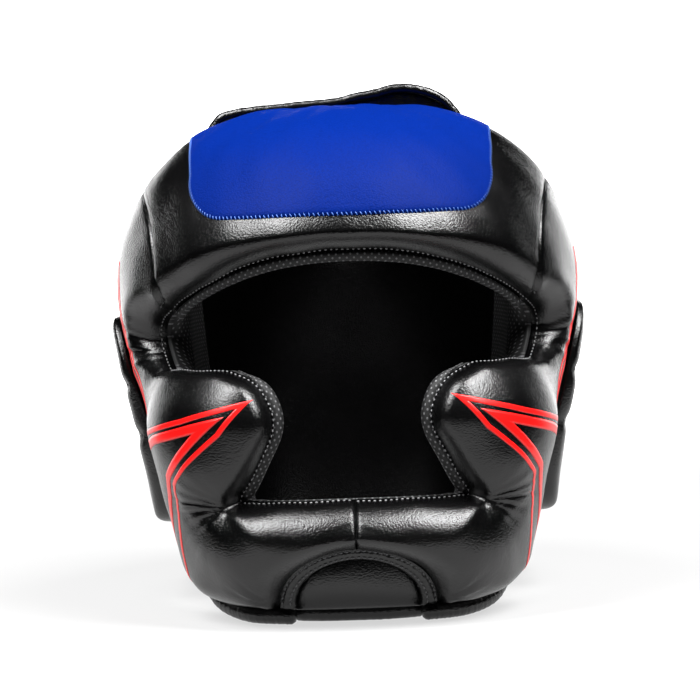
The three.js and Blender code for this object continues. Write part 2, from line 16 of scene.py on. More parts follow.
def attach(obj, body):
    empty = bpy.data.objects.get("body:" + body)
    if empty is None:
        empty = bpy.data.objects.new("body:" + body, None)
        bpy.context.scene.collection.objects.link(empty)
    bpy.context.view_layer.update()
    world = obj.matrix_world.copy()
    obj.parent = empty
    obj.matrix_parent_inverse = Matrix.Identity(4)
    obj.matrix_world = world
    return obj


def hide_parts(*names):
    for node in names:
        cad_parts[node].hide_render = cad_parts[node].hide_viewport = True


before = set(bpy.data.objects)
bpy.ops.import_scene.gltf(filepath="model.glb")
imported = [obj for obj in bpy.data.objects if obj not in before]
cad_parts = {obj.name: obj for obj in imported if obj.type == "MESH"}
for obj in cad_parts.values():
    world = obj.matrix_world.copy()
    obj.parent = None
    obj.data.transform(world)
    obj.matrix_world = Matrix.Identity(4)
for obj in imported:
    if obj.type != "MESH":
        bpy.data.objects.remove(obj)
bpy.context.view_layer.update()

log = logging.getLogger("head_guard")

Array = np.ndarray
Number = Array | float
Span = tuple[float, float]
Pairs = tuple[Span, ...]
Shares = tuple[float, ...]
Triple = tuple[float, float, float]
Colour = Triple
Cell = tuple[int, int, int, int]
Piece = bpy.types.Object
Node = bpy.types.Node
Socket = bpy.types.NodeSocket

MM = 0.001
ROOT = "root"
FLAT_MAP = "flat"
REAR_SEAM = 112.0
SEWN_GAP = 0.12
STRAP_LIP = 0.3


class Side(Enum):
    """The wearer's left and right, as the sign of X."""

    LEFT = 1
    RIGHT = -1

    @property
    def word(self) -> str:
        """The side's name at the end of a piece's name."""
        return self.name.lower()

    def mirror(self, rows: Array) -> Array:
        """Rows of x, y and z made for the left, turned over to this side."""
        return rows * np.array((self.value, 1, 1))


# Curves, profiles and lines


class Curve:
    """A smooth curve through a few keyed values, the way the CAD model reads its tables."""

    def __init__(self, points: Sequence[Span]) -> None:
        """Keeps the points and their slopes.

        Args:
            points: key and value pairs in rising order of key.
        """
        self.keys, self.values = np.array(points, float).T
        low = np.maximum(np.arange(len(points)) - 1, 0)
        high = np.minimum(np.arange(len(points)) + 1, len(points) - 1)
        self.slopes = (self.values[high] - self.values[low]) / (self.keys[high] - self.keys[low])

    def at(self, key: Number) -> Array:
        """Reads the curve, held at its ends.

        Args:
            key: where to read it.

        Returns:
            The value at each key.
        """
        key = np.clip(np.asarray(key, float), self.keys[0], self.keys[-1])
        above = np.clip(np.searchsorted(self.keys, key), 1, len(self.keys) - 1)
        span = self.keys[above] - self.keys[above - 1]
        share = (key - self.keys[above - 1]) / span
        first, last = self.values[above - 1], self.values[above]
        bend = (1 - share) * self.slopes[above - 1] - share * self.slopes[above]
        curved = share * (1 - share) * span * (bend - (1 - 2 * share) * (last - first) / span)
        return first + share * (last - first) + curved


def even(value: float) -> Curve:
    """A curve that holds one value all round."""
    return Curve(((0, value), (360, value)))


def smoothstep(value: Array, low: float, high: float) -> Array:
    """Rises smoothly from 0 at low to 1 at high."""
    share = np.clip((value - low) / (high - low), 0, 1)
    return share * share * (3 - 2 * share)


def bump(value: Array, middle: float, spread: float) -> Array:
    """A soft hill of height 1 round the middle."""
    return np.exp(-(((value - middle) / spread) ** 2))


def quarter_round(distance: Array, width: Number) -> Array:
    """Rises on a quarter circle from 0 at an edge to 1 at the width of its roll."""
    short = 1 - np.clip(distance / width, 0, 1)
    return np.sqrt(1 - short * short)


def chamfer(distance: Array, width: Number) -> Array:
    """A straight rise from 0 to 1 across a width, with a short rounding at its top.

    Args:
        distance: millimetres from the edge.
        width: width of the slope.

    Returns:
        The share of the full height.
    """
    rounding = 0.12
    share = distance / width
    past = np.clip(share - 1 + rounding, 0, 2 * rounding)
    return np.minimum(share, 1 - rounding + past) - past**2 / (4 * rounding)


def ridged(distance: Array, width: Number) -> Array:
    """A roll that starts from a ridge: gently at first, then ever steeper to the edge."""
    return 0.7 * quarter_round(distance, width) + 0.3 * chamfer(distance, width)


def domed(distance: Array, width: Number) -> Array:
    """A narrow roll at an edge, from which the pad goes on swelling for six times its width."""
    past = 1 - np.clip(distance / (6 * width), 0, 1)
    return 0.5 * quarter_round(distance, width) + 0.5 * (1 - past * past)


def unit(rows: Array) -> Array:
    """Rows scaled to a length of 1."""
    return rows / np.linalg.norm(rows, axis=-1, keepdims=True)


def lengths_along(points: Array) -> Array:
    """Distance of each row of points from the first row, measured along them."""
    steps = np.linalg.norm(np.diff(points, axis=0), axis=-1)
    return np.concatenate((np.zeros_like(steps[:1]), np.cumsum(steps, axis=0)))


def read_along(rows: Array, keys: Array, where: Array) -> Array:
    """Rows read between their keys, column by column."""
    return np.stack([np.interp(where, keys, column) for column in rows.T], axis=-1)


def resampled(points: Array, step: float, rounds: int) -> Array:
    """A polyline at even steps, with its corners eased.

    Args:
        points: rows of coordinates along the line.
        step: wanted distance between points.
        rounds: how often each point is averaged with its neighbours.

    Returns:
        The new rows, with the ends kept.
    """
    lengths = lengths_along(points)
    count = max(int(round(lengths[-1] / step)), 2) + 1
    line = read_along(points, lengths, np.linspace(0, lengths[-1], count))
    for _ in range(rounds):
        line[1:-1] = (line[:-2] + 2 * line[1:-1] + line[2:]) / 4
    return line


def right_of(line: Array) -> Array:
    """Unit steps to the right-hand side of a flat line, at each of its points."""
    along = unit(np.gradient(line, axis=0))
    return np.stack((along[:, 1], -along[:, 0]), axis=-1)


def refined(values: Sequence[float], parts: int) -> list[float]:
    """The values with each step split into equal parts."""
    steps = [(first, last, part) for first, last in zip(values, values[1:]) for part in range(parts)]
    return [first + (last - first) * part / parts for first, last, part in steps] + [values[-1]]


# The head form


class Places(NamedTuple):
    """Places on the head form: an angle round it and a girth up it, in degrees and millimetres."""

    angle: Array
    girth: Array

    def only(self, chosen: Array | slice) -> "Places":
        """Some of these places."""
        return Places(self.angle[chosen], self.girth[chosen])


def joined(rows: Sequence[Places]) -> Places:
    """Rows of places as one list."""
    return Places(*(np.concatenate(column) for column in zip(*rows)))


def line_of(pairs: Sequence[Span]) -> Places:
    """Places from angle and girth pairs."""
    return Places(*(np.array(column, float) for column in zip(*pairs)))


def row_ends(rows: Sequence[Places], end: int) -> Places:
    """The place with one index in each row: 0 for the first, -1 for the last."""
    return line_of([(row.angle[end], row.girth[end]) for row in rows])


@dataclass(frozen=True)
class HeadForm:
    """The head that every soft piece is laid out on, in millimetres and degrees, as in the CAD model.

    A field of two numbers is where a change starts and ends, or the middle and the spread of a hill.
    """

    base: float = 6.0
    equator: float = 155.0
    dome_rise: float = 77.5
    dome_arc: float = 86.0
    arc_per_degree: float = 1.6
    origin_shift: float = -0.912
    half_width: Curve = Curve(((0, 64), (55, 70), (92, 76), (128, 80.3), (145, 81.9), (155, 82), (165, 82)))
    front: Curve = Curve(((0, 84), (55, 90), (92, 92), (128, 91.9), (145, 91.1), (155, 91), (165, 91)))
    back: Curve = Curve(((0, 88), (55, 93), (92, 97), (128, 99.1), (145, 99.9), (155, 100), (165, 100)))
    squareness: Curve = Curve(((0, 2.5), (55, 2.6), (92, 2.6), (128, 2.22), (145, 2.03), (155, 2), (165, 2)))
    front_pad: Curve = Curve(
        ((0, 29), (30, 33), (55, 35), (92, 38), (128, 33), (155, 29.8), (170, 29.4), (186, 27.1), (215, 21.6))
        + ((245, 13.8), (282, 7.6))
    )
    side_pad: Curve = Curve(
        ((0, 17), (30, 18.5), (55, 21), (92, 26), (128, 32), (155, 34), (185, 32), (215, 27))
        + ((245, 18), (282, 9))
    )
    back_pad: Curve = Curve(
        ((0, 29), (30, 31), (55, 27), (92, 22), (128, 22), (155, 22), (185, 21), (215, 17))
        + ((245, 14), (282, 9))
    )
    chin_fill: Curve = Curve(((0, 2), (18, 6), (30, 8), (45, 8), (55, 6.5), (75, 2.5), (92, 0.5), (110, 0)))
    side_turns: Span = (48, 80)
    back_turns: Span = (95, 128)
    chin_turns: Span = (26, 52)
    lobe_fill: float = 3.0
    lobe_turn: Span = (36, 11)
    lobe_girth: Span = (70, 14)
    lift_even: float = 0.5
    lift_height: float = 5.0
    lift_lateral: Span = (20, 15)
    lift_girths: Span = (268, 284)

    def tilt(self, girth: Array) -> Array:
        """How far up the dome a girth lies, in radians."""
        return np.maximum(girth - self.equator, 0) / self.dome_arc

    def bare(self, places: Places) -> Array:
        """Points of the bare form.

        Args:
            places: where on the form.

        Returns:
            One row of x, y and z for each place.
        """
        level, tilt = np.minimum(places.girth, self.equator), self.tilt(places.girth)
        power = 2 / self.squareness.at(level)
        turn = np.radians(places.angle)
        across = np.sign(np.sin(turn)) * np.abs(np.sin(turn)) ** power
        ahead = np.sign(np.cos(turn)) * np.abs(np.cos(turn)) ** power
        depth = np.where(ahead > 0, self.front.at(level), self.back.at(level))
        x = self.half_width.at(level) * across * np.cos(tilt)
        y = -depth * ahead * np.cos(tilt)
        return np.stack((x, y, self.base + level + self.dome_rise * np.sin(tilt)), axis=-1)

    def normals(self, places: Places) -> Array:
        """Outward normals of the form, from points close by.

        Args:
            places: where on the form.

        Returns:
            One unit row for each place.
        """
        angle, girth = places
        step = 0.5
        onwards = self.bare(Places(angle + step, girth)) - self.bare(Places(angle - step, girth))
        upwards = self.bare(Places(angle, girth + step)) - self.bare(Places(angle, girth - step))
        return unit(np.cross(onwards, upwards))

    def crown_places(self, lateral: Array, sagittal: Array) -> Places:
        """Places from angles across and over the head.

        Args:
            lateral: degrees from the middle towards the left ear.
            sagittal: degrees from the brow over the crown, or millimetres below the widest level.

        Returns:
            The places in angle and girth.
        """
        side, over = np.radians(lateral), np.radians(np.maximum(sagittal, 0))
        tilt = np.arcsin(np.cos(side) * np.sin(over))
        angle = np.degrees(np.arctan2(np.sin(side), np.cos(side) * np.cos(over)))
        low = sagittal < 0
        girth = np.where(low, self.equator + sagittal, self.equator + self.dome_arc * tilt)
        return Places(np.where(low, lateral, angle), girth)

    def sagittal_at(self, lateral: Number, girth: Number) -> Array:
        """A girth as degrees over the head, or as millimetres below the widest level.

        Args:
            lateral: degrees from the middle.
            girth: millimetres up the form.

        Returns:
            The sagittal measure that crown_places takes.
        """
        share = np.sin(self.tilt(girth)) / np.cos(np.radians(lateral))
        over = np.degrees(np.arcsin(np.clip(share, -1, 1)))
        return np.where(girth < self.equator, girth - self.equator, over)

    def lift(self, places: Places) -> Array:
        """How far the crown edge stands up from the head, most on its left half.

        Args:
            places: where on the form.

        Returns:
            Millimetres out at each place.
        """
        lateral = np.degrees(np.arcsin(np.cos(self.tilt(places.girth)) * np.sin(np.radians(places.angle))))
        height = self.lift_even + self.lift_height * bump(lateral, *self.lift_lateral)
        return height * smoothstep(places.girth, *self.lift_girths) * (np.abs(places.angle) < 90)

    def points(self, places: Places, offset: Number) -> Array:
        """Points out from the form, in metres in the guard's frame.

        Args:
            places: where on the form.
            offset: distance out from it in millimetres.

        Returns:
            One row of x, y and z for each place.
        """
        out = np.asarray(offset) + self.lift(places)
        points = self.bare(places) + self.normals(places) * out[..., None]
        points[..., 1] += self.origin_shift
        return points * MM

    def padding(self, places: Places) -> Array:
        """Thickness of the padding.

        Args:
            places: where on the form.

        Returns:
            Millimetres at each place.
        """
        turn = np.abs((places.angle + 540) % 360 - 180)
        front = self.front_pad.at(places.girth)
        near = front + smoothstep(turn, *self.side_turns) * (self.side_pad.at(places.girth) - front)
        near = near + self.chin_fill.at(places.girth) * (1 - smoothstep(turn, *self.chin_turns))
        near = near + self.lobe_fill * bump(turn, *self.lobe_turn) * bump(places.girth, *self.lobe_girth)
        return near + smoothstep(turn, *self.back_turns) * (self.back_pad.at(places.girth) - near)

    def flat(self, places: Places) -> Array:
        """Places laid flat as millimetres round and up."""
        return np.stack((places.angle * self.arc_per_degree, places.girth), axis=-1)

    def unflat(self, flat: Array) -> Places:
        """The places of points that are laid flat."""
        return Places(flat[:, 0] / self.arc_per_degree, flat[:, 1])

    def moved_line(self, line: Places, step: float, rounds: int, aside: float) -> Places:
        """A line of places at even steps, moved to its right-hand side.

        Args:
            line: the line, followed from its first place.
            step: millimetres between places.
            rounds: rounds of easing for its corners.
            aside: millimetres that it is moved.

        Returns:
            The new line.
        """
        flat = resampled(self.flat(line), step, rounds)
        return self.unflat(flat + aside * right_of(flat))

    def edge_distance(self, places: Places, edges: Sequence[Places]) -> Array:
        """Distance of each place from the nearest of some edge lines, measured flat.

        Args:
            places: the places to measure.
            edges: lines of places.

        Returns:
            Millimetres to the nearest line.
        """
        point = self.flat(places)[:, None, :]
        nearest = np.full(len(places.angle), np.inf)
        for edge in edges:
            line = self.flat(edge)
            start, along = line[:-1], line[1:] - line[:-1]
            length = np.maximum((along**2).sum(-1), 1e-9)
            share = np.clip(((point - start) * along).sum(-1) / length, 0, 1)
            gap = np.linalg.norm(point - start - share[..., None] * along, axis=-1)
            nearest = np.minimum(nearest, gap.min(axis=1))
        return nearest


FORM = HeadForm()


# Meshes


def deselect_all() -> None:
    """Leaves object mode with nothing selected."""
    if bpy.context.object and bpy.context.object.mode != "OBJECT":
        bpy.ops.object.mode_set(mode="OBJECT")
    bpy.ops.object.select_all(action="DESELECT")


def select_only(*pieces: Piece) -> None:
    """Selects some pieces and makes the first one active.

    Args:
        pieces: the pieces.
    """
    deselect_all()
    for piece in pieces:
        piece.select_set(True)
    bpy.context.view_layer.objects.active = pieces[0]


def apply_modifiers(piece: Piece) -> None:
    """Applies every modifier of a piece in turn.

    Args:
        piece: the piece.
    """
    select_only(piece)
    for modifier in list(piece.modifiers):
        bpy.ops.object.modifier_apply(modifier=modifier.name)


def join_pieces(piece: Piece, *others: Piece) -> None:
    """Joins other objects into a piece."""
    select_only(piece, *others)
    bpy.ops.object.join()


def corner_vertices(mesh: bpy.types.Mesh) -> Array:
    """The vertex number at each corner of each face.

    Args:
        mesh: the mesh.

    Returns:
        One number for each corner.
    """
    corners = np.empty(len(mesh.loops), dtype=np.int32)
    mesh.loops.foreach_get("vertex_index", corners)
    return corners


def set_flat_map(piece: Piece, flat: Array) -> None:
    """Sets the flat map of a piece from millimetres given for each vertex.

    Args:
        piece: the piece.
        flat: its vertices laid flat.
    """
    mesh = piece.data
    layer = mesh.uv_layers.get(FLAT_MAP) or mesh.uv_layers.new(name=FLAT_MAP)
    layer.data.foreach_set("uv", (flat[corner_vertices(mesh)] * MM).astype(np.float32).ravel())


def vertex_places(piece: Piece) -> Places:
    """The places of a piece's vertices, read back from its flat map.

    Args:
        piece: the piece.

    Returns:
        A place for each vertex.
    """
    mesh = piece.data
    values = np.empty(len(mesh.loops) * 2)
    mesh.uv_layers[FLAT_MAP].data.foreach_get("uv", values)
    flat = np.zeros((len(mesh.vertices), 2))
    flat[corner_vertices(mesh)] = values.reshape(-1, 2) / MM
    return FORM.unflat(flat)


def rows_of(items: bpy.types.bpy_prop_collection, key: str) -> Array:
    """One row of three numbers for each item of a mesh.

    Args:
        items: its vertices or vertex normals.
        key: what to read of each.

    Returns:
        The rows.
    """
    values = np.empty(len(items) * 3)
    items.foreach_get(key, values)
    return values.reshape(-1, 3)


def vertex_points(piece: Piece) -> Array:
    """A piece's vertices as rows of x, y and z."""
    return rows_of(piece.data.vertices, "co")


def set_vertex_points(piece: Piece, points: Array) -> None:
    """Moves a piece's vertices."""
    piece.data.vertices.foreach_set("co", points.ravel())
    piece.data.update()


def grid_cells(rows: int, columns: int) -> list[Cell]:
    """Four-cornered cells of a plain grid that is stored row by row."""
    starts = [row * columns + column for row in range(rows - 1) for column in range(columns - 1)]
    return [(start, start + 1, start + columns + 1, start + columns) for start in starts]


def grid_of(across: Array, up: Array) -> list[Array]:
    """The values across and up at each point of a grid that is stored row by row."""
    return [grid.ravel() for grid in np.meshgrid(across, up)]


def tube_faces(rings: int, around: int, start: int = 0) -> list[tuple[int, ...]]:
    """Faces of a closed tube that is stored ring by ring.

    Args:
        rings: how many rings it has.
        around: how many vertices a ring has.
        start: the number of its first vertex.

    Returns:
        Its side faces, then its two ends.
    """
    faces: list[tuple[int, ...]] = []
    for ring in range(start, start + (rings - 1) * around, around):
        for i in range(around):
            first, second = ring + i, ring + (i + 1) % around
            faces.append((first, second, second + around, first + around))
    last = start + (rings - 1) * around
    return faces + [tuple(range(start, start + around)), tuple(range(last, last + around))]


def mesh_object(
    name: str, vertices: Array, faces: Sequence[Sequence[int]], flat: Array | None = None
) -> Piece:
    """Makes a smooth mesh object with outward faces.

    Args:
        name: the piece's name.
        vertices: rows of x, y and z in metres.
        faces: corner numbers of each face.
        flat: the vertices laid flat in millimetres, kept as a UV map in metres.

    Returns:
        The new object, linked to the scene.
    """
    mesh = bpy.data.meshes.new(name)
    mesh.from_pydata([tuple(v) for v in vertices], [], [tuple(f) for f in faces])
    shaped = bmesh.new()
    shaped.from_mesh(mesh)
    bmesh.ops.recalc_face_normals(shaped, faces=shaped.faces)
    shaped.to_mesh(mesh)
    shaped.free()
    mesh.polygons.foreach_set("use_smooth", [True] * len(mesh.polygons))
    piece = bpy.data.objects.new(name, mesh)
    bpy.context.scene.collection.objects.link(piece)
    if flat is not None:
        set_flat_map(piece, flat)
    return piece


def ringed_object(name: str, rings: Array) -> Piece:
    """A closed tube from rings of points.

    Args:
        name: the tube's name.
        rings: points by ring and by place round the ring.

    Returns:
        The tube, whose flat map runs along it and round it.
    """
    count, around = rings.shape[:2]
    flat_girth = 20
    steps = lengths_along(rings.mean(axis=1)) / MM
    along, turn = np.meshgrid(steps, np.linspace(0, flat_girth, around), indexing="ij")
    flat = np.stack((along.ravel(), turn.ravel()), axis=-1)
    return mesh_object(name, rings.reshape(-1, 3), tube_faces(count, around), flat)


class Surface:
    """The outside of some pieces, which trim is laid on."""

    REACH = 75.0
    NEAR_SHARE = 0.7

    def __init__(self, *pieces: Piece) -> None:
        """Keeps the pieces' faces in a search tree.

        Args:
            pieces: the pieces.
        """
        vertices: list[Vector] = []
        faces: list[list[int]] = []
        for piece in pieces:
            start = len(vertices)
            vertices += [vertex.co.copy() for vertex in piece.data.vertices]
            faces += [[start + corner for corner in face.vertices] for face in piece.data.polygons]
        self.tree = BVHTree.FromPolygons(vertices, faces)

    def lay(self, places: Places, side: Side = Side.LEFT) -> tuple[Array, Array]:
        """Points and normals where lines square to the head form first meet the surface.

        Args:
            places: where on the form.
            side: the half of the guard, whose angles are all counted as on the left.

        Returns:
            Points in metres and unit normals.
        """
        starts = side.mirror(FORM.points(places, self.REACH))
        ways = side.mirror(-FORM.normals(places))
        points, normals = np.empty_like(starts), np.empty_like(starts)
        for i, (start, way) in enumerate(zip(starts, ways)):
            point, normal, _, _ = self.tree.ray_cast(Vector(start), Vector(way))
            if point is None:
                near = start + way * self.REACH * self.NEAR_SHARE * MM
                point, normal, _, _ = self.tree.find_nearest(Vector(near))
            points[i], normals[i] = point, normal if normal.dot(Vector(way)) < 0 else -normal
        return points, normals

    def nearest(self, starts: Array) -> tuple[Array, Array]:
        """Points of the surface nearest to given ones, with their normals."""
        found = [self.tree.find_nearest(Vector(start)) for start in starts]
        return np.array([point for point, *_ in found]), np.array([normal for _, normal, *_ in found])


class Layers(NamedTuple):
    """What a closed shell is made from: its places, outer and inner points in metres, and cells."""

    places: Places
    outer: Array
    inner: Array
    cells: Sequence[Cell]

    @classmethod
    def off_form(
        cls, places: Places, skin: Number, inside: Number, cells: Sequence[Cell], side: Side = Side.LEFT
    ) -> "Layers":
        """Layers at two offsets from the head form, in millimetres."""
        outer, inner = (side.mirror(FORM.points(places, offset)) for offset in (skin, inside))
        return cls(places, outer, inner, cells)

    @classmethod
    def on_surface(
        cls, surface: Surface, places: Places, heights: tuple[Number, float], cells: Sequence[Cell],
        side: Side = Side.LEFT,
    ) -> "Layers":
        """Layers on a surface.

        Args:
            surface: what they lie on.
            places: where, counted as on the left.
            heights: millimetres of the outer and of the inner layer above the surface.
            cells: the cells of both.
            side: left or right.

        Returns:
            The layers.
        """
        points, normals = surface.lay(places, side)
        outer, inner = (points + normals * np.reshape(height, (-1, 1)) * MM for height in heights)
        return cls(places, outer, inner, cells)


def shell_object(name: str, layers: Layers) -> Piece:
    """Makes a closed shell from an outer and an inner layer of points.

    Args:
        name: the piece's name.
        layers: its points and cells.

    Returns:
        The new object, whose first half of vertices is the outer layer.
    """
    places, outer, inner, cells = layers
    count = len(outer)
    directed = {(a, b) for cell in cells for a, b in zip(cell, cell[1:] + cell[:1])}
    faces: list[Sequence[int]] = list(cells)
    faces += [tuple(count + node for node in reversed(cell)) for cell in cells]
    faces += [(b, a, count + a, count + b) for a, b in directed if (b, a) not in directed]
    return mesh_object(name, np.concatenate((outer, inner)), faces, np.tile(FORM.flat(places), (2, 1)))


# Finishes


class Nodes:
    """A node tree with short ways to add and join nodes."""

    def __init__(self, tree: bpy.types.NodeTree) -> None:
        """Wraps a tree."""
        self.tree = tree

    def put(self, socket: Socket, value: object) -> None:
        """Sets an input.

        Args:
            socket: the input.
            value: its value, or the socket that it is joined to.
        """
        if isinstance(value, Socket):
            self.tree.links.new(value, socket)
        else:
            socket.default_value = value

    def fill(self, node: Node, **values: object) -> Node:
        """Sets a node's properties and inputs.

        Args:
            node: the node.
            values: properties by name, or inputs by name with underscores for blanks.

        Returns:
            The node.
        """
        for key, value in values.items():
            if hasattr(node, key):
                setattr(node, key, value)
            else:
                self.put(node.inputs[key.replace("_", " ")], value)
        return node

    def add(self, kind: str, **values: object) -> Node:
        """Adds a node by its type name without the ShaderNode prefix, and fills it."""
        return self.fill(self.tree.nodes.new("ShaderNode" + kind), **values)

    def math(self, operation: str, first: Socket | float, second: Socket | float) -> Socket:
        """Adds a Math node.

        Args:
            operation: the sum to do.
            first: a socket or a number.
            second: a socket or a number.

        Returns:
            The result's socket.
        """
        node = self.add("Math", operation=operation)
        self.put(node.inputs[0], first)
        self.put(node.inputs[1], second)
        return node.outputs[0]

    def mix(self, factor: Socket, first: Sequence[float], last: Sequence[float]) -> Socket:
        """Adds a mix of two colours.

        Args:
            factor: 0 for the first and 1 for the last.
            first: a colour.
            last: another colour.

        Returns:
            The mixed colour's socket.
        """
        first_input, last_input, colour_output = 6, 7, 2
        node = self.add("Mix", data_type="RGBA", Factor=factor)
        self.put(node.inputs[first_input], (*first, 1))
        self.put(node.inputs[last_input], (*last, 1))
        return node.outputs[colour_output]

    def shades(self, factor: Socket, colour: Colour, dark: float, light: float) -> Socket:
        """Adds a mix of a darker and a lighter shade of a colour."""
        return self.mix(factor, [dark * c for c in colour], [min(light * c, 1) for c in colour])

    def relief(self, height: Socket, strength: float, distance: float) -> Socket:
        """Adds a bump and gives its normal."""
        return self.add("Bump", Strength=strength, Distance=distance, Height=height).outputs["Normal"]

    def place(self) -> Socket:
        """Adds the object's own coordinates."""
        return self.add("TexCoord").outputs["Object"]


class GrainGroup:
    """The pebbled grain of leather as a node group: a height for bump and slow patches."""

    NAME = "leather grain"
    SOCKETS = (("Vector", "INPUT"), ("Scale", "INPUT"), ("Height", "OUTPUT"), ("Patches", "OUTPUT"))

    @classmethod
    def get(cls) -> bpy.types.NodeTree:
        """The node group, made on first use."""
        return bpy.data.node_groups.get(cls.NAME) or cls.build()

    @classmethod
    def build(cls) -> bpy.types.NodeTree:
        """Builds the group from cells, finer cells and slow noise.

        Returns:
            The node group with inputs Vector and Scale, outputs Height and Patches.
        """
        tree = bpy.data.node_groups.new(cls.NAME, "ShaderNodeTree")
        for name, way in cls.SOCKETS:
            kind = "NodeSocketVector" if name == "Vector" else "NodeSocketFloat"
            tree.interface.new_socket(name, in_out=way, socket_type=kind)
        nodes = Nodes(tree)
        inside, outside = tree.nodes.new("NodeGroupInput"), tree.nodes.new("NodeGroupOutput")
        vector, scale = inside.outputs["Vector"], inside.outputs["Scale"]
        cells = nodes.add(
            "TexVoronoi", feature="SMOOTH_F1", Smoothness=0.35, Randomness=1.0, Vector=vector, Scale=scale
        )
        finer = nodes.math("MULTIPLY", scale, 2.3)
        fine = nodes.add("TexVoronoi", feature="F1", Vector=vector, Scale=finer)
        slow = nodes.add("TexNoise", Scale=38.0, Detail=3.0, Vector=vector)
        coarse_part = nodes.math("MULTIPLY", cells.outputs["Distance"], 0.75)
        fine_part = nodes.math("MULTIPLY", fine.outputs["Distance"], 0.3)
        height = nodes.math("SUBTRACT", 1.0, nodes.math("ADD", coarse_part, fine_part))
        nodes.fill(outside, Height=height, Patches=slow.outputs["Fac"])
        return tree


def new_material(name: str) -> tuple[bpy.types.Material, Nodes, Node]:
    """Starts a node material.

    Args:
        name: the material's name.

    Returns:
        The material, its nodes and its Principled shader.
    """
    material = bpy.data.materials.new(name)
    material.use_nodes = True
    return material, Nodes(material.node_tree), material.node_tree.nodes["Principled BSDF"]


@dataclass(frozen=True)
class Finish:
    """A finish with its material's name, a slot name and its colour."""

    name: str
    slot: str
    colour: Colour

    def material(self) -> bpy.types.Material:
        """The finish as a material, made on first use.

        Returns:
            The material.
        """
        found = bpy.data.materials.get(self.name)
        if found is None:
            found, nodes, shader = new_material(self.name)
            self.shade(nodes, shader)
        return found

    def shade(self, nodes: Nodes, shader: Node) -> None:
        """Joins the finish's own nodes to its shader."""
        raise NotImplementedError


@dataclass(frozen=True)
class LeatherFinish(Finish):
    """Coated leather with a pebbled grain and a soft gloss."""

    roughness: float = 0.24
    roughness_spread: float = 0.1
    grain_scale: float = 1100.0
    grain_depth: float = 0.0002
    grain_strength: float = 0.75
    specular: float = 0.5

    def shade(self, nodes: Nodes, shader: Node) -> None:
        """Gives the leather its grain, patches of gloss and a slight change of shade.

        Args:
            nodes: the material's nodes.
            shader: its shader.
        """
        grain = nodes.add("Group", node_tree=GrainGroup.get(), Scale=self.grain_scale, Vector=nodes.place())
        height, half = grain.outputs["Height"], self.roughness_spread / 2
        low, high = self.roughness - half, self.roughness + half
        gloss = nodes.add("MapRange", Value=grain.outputs["Patches"], To_Min=low, To_Max=high)
        nodes.fill(
            shader,
            Roughness=gloss.outputs["Result"],
            Base_Color=nodes.shades(height, self.colour, 0.75, 1.2),
            Normal=nodes.relief(height, self.grain_strength, self.grain_depth),
            Specular_IOR_Level=self.specular,
        )


@dataclass(frozen=True)
class LiningFinish(Finish):
    """Lining with small silvery dots set in slanted rows."""

    dot: Colour = (0.15, 0.15, 0.155)
    pitch: float = 0.0027
    dot_share: float = 0.19
    dot_softness: float = 0.07
    gloss: Span = (0.62, 0.3)

    def shade(self, nodes: Nodes, shader: Node) -> None:
        """Sets dots on the piece's flat map, each a little raised and shinier than the ground.

        Args:
            nodes: the material's nodes.
            shader: its shader.
        """
        flat = nodes.add("UVMap", uv_map=FLAT_MAP).outputs["UV"]
        slant = (0, 0, math.radians(45))
        turned = nodes.add("Mapping", Vector=flat, Scale=(1 / self.pitch,) * 3, Rotation=slant)
        fraction = nodes.add("VectorMath", operation="FRACTION", Vector=turned.outputs["Vector"])
        centred = nodes.add("VectorMath", operation="SUBTRACT", Vector=fraction.outputs[0])
        centred.inputs[1].default_value = (0.5, 0.5, 0)
        length = nodes.add("VectorMath", operation="LENGTH", Vector=centred.outputs[0])
        dot = nodes.add(
            "MapRange",
            interpolation_type="SMOOTHSTEP",
            Value=length.outputs["Value"],
            From_Min=self.dot_share + self.dot_softness,
            From_Max=self.dot_share - self.dot_softness,
        ).outputs["Result"]
        gloss = nodes.add("MapRange", Value=dot, To_Min=self.gloss[0], To_Max=self.gloss[1])
        weave = nodes.add("TexNoise", Scale=2600.0, Detail=2.0, Vector=nodes.place())
        height = nodes.math("ADD", dot, nodes.math("MULTIPLY", weave.outputs["Fac"], 0.5))
        nodes.fill(
            shader,
            Base_Color=nodes.mix(dot, self.colour, self.dot),
            Roughness=gloss.outputs["Result"],
            Normal=nodes.relief(height, 0.6, 0.0003),
        )


@dataclass(frozen=True)
class PlainFinish(Finish):
    """An even finish: thread or print."""

    roughness: float

    def shade(self, nodes: Nodes, shader: Node) -> None:
        """Gives the finish a faint change of shade."""
        noise = nodes.add("TexNoise", Scale=900.0, Detail=2.0, Vector=nodes.place()).outputs["Fac"]
        nodes.fill(shader, Base_Color=nodes.shades(noise, self.colour, 0.8, 1.1), Roughness=self.roughness)


@dataclass(frozen=True)
class WebbingFinish(Finish):
    """Woven webbing with a raised twill."""

    pitch: float = 0.0016
    waves_per_scale: float = 0.314
    roughness: float = 0.72
    slants: Span = (32, -58)

    def shade(self, nodes: Nodes, shader: Node) -> None:
        """Weaves two slanted waves on the strap's flat map.

        Args:
            nodes: the material's nodes.
            shader: its shader.
        """
        flat = nodes.add("UVMap", uv_map=FLAT_MAP).outputs["UV"]
        scale = self.waves_per_scale / self.pitch
        waves = []
        for slant in self.slants:
            turned = nodes.add("Mapping", Vector=flat, Rotation=(0, 0, math.radians(slant))).outputs["Vector"]
            wave = nodes.add("TexWave", wave_profile="SIN", Scale=scale, Distortion=0.6, Vector=turned)
            waves.append(wave.outputs["Fac"])
        height = nodes.math("MULTIPLY", *waves)
        nodes.fill(
            shader,
            Base_Color=nodes.shades(height, self.colour, 0.4, 2.0),
            Normal=nodes.relief(height, 0.8, 0.0004),
            Roughness=self.roughness,
        )


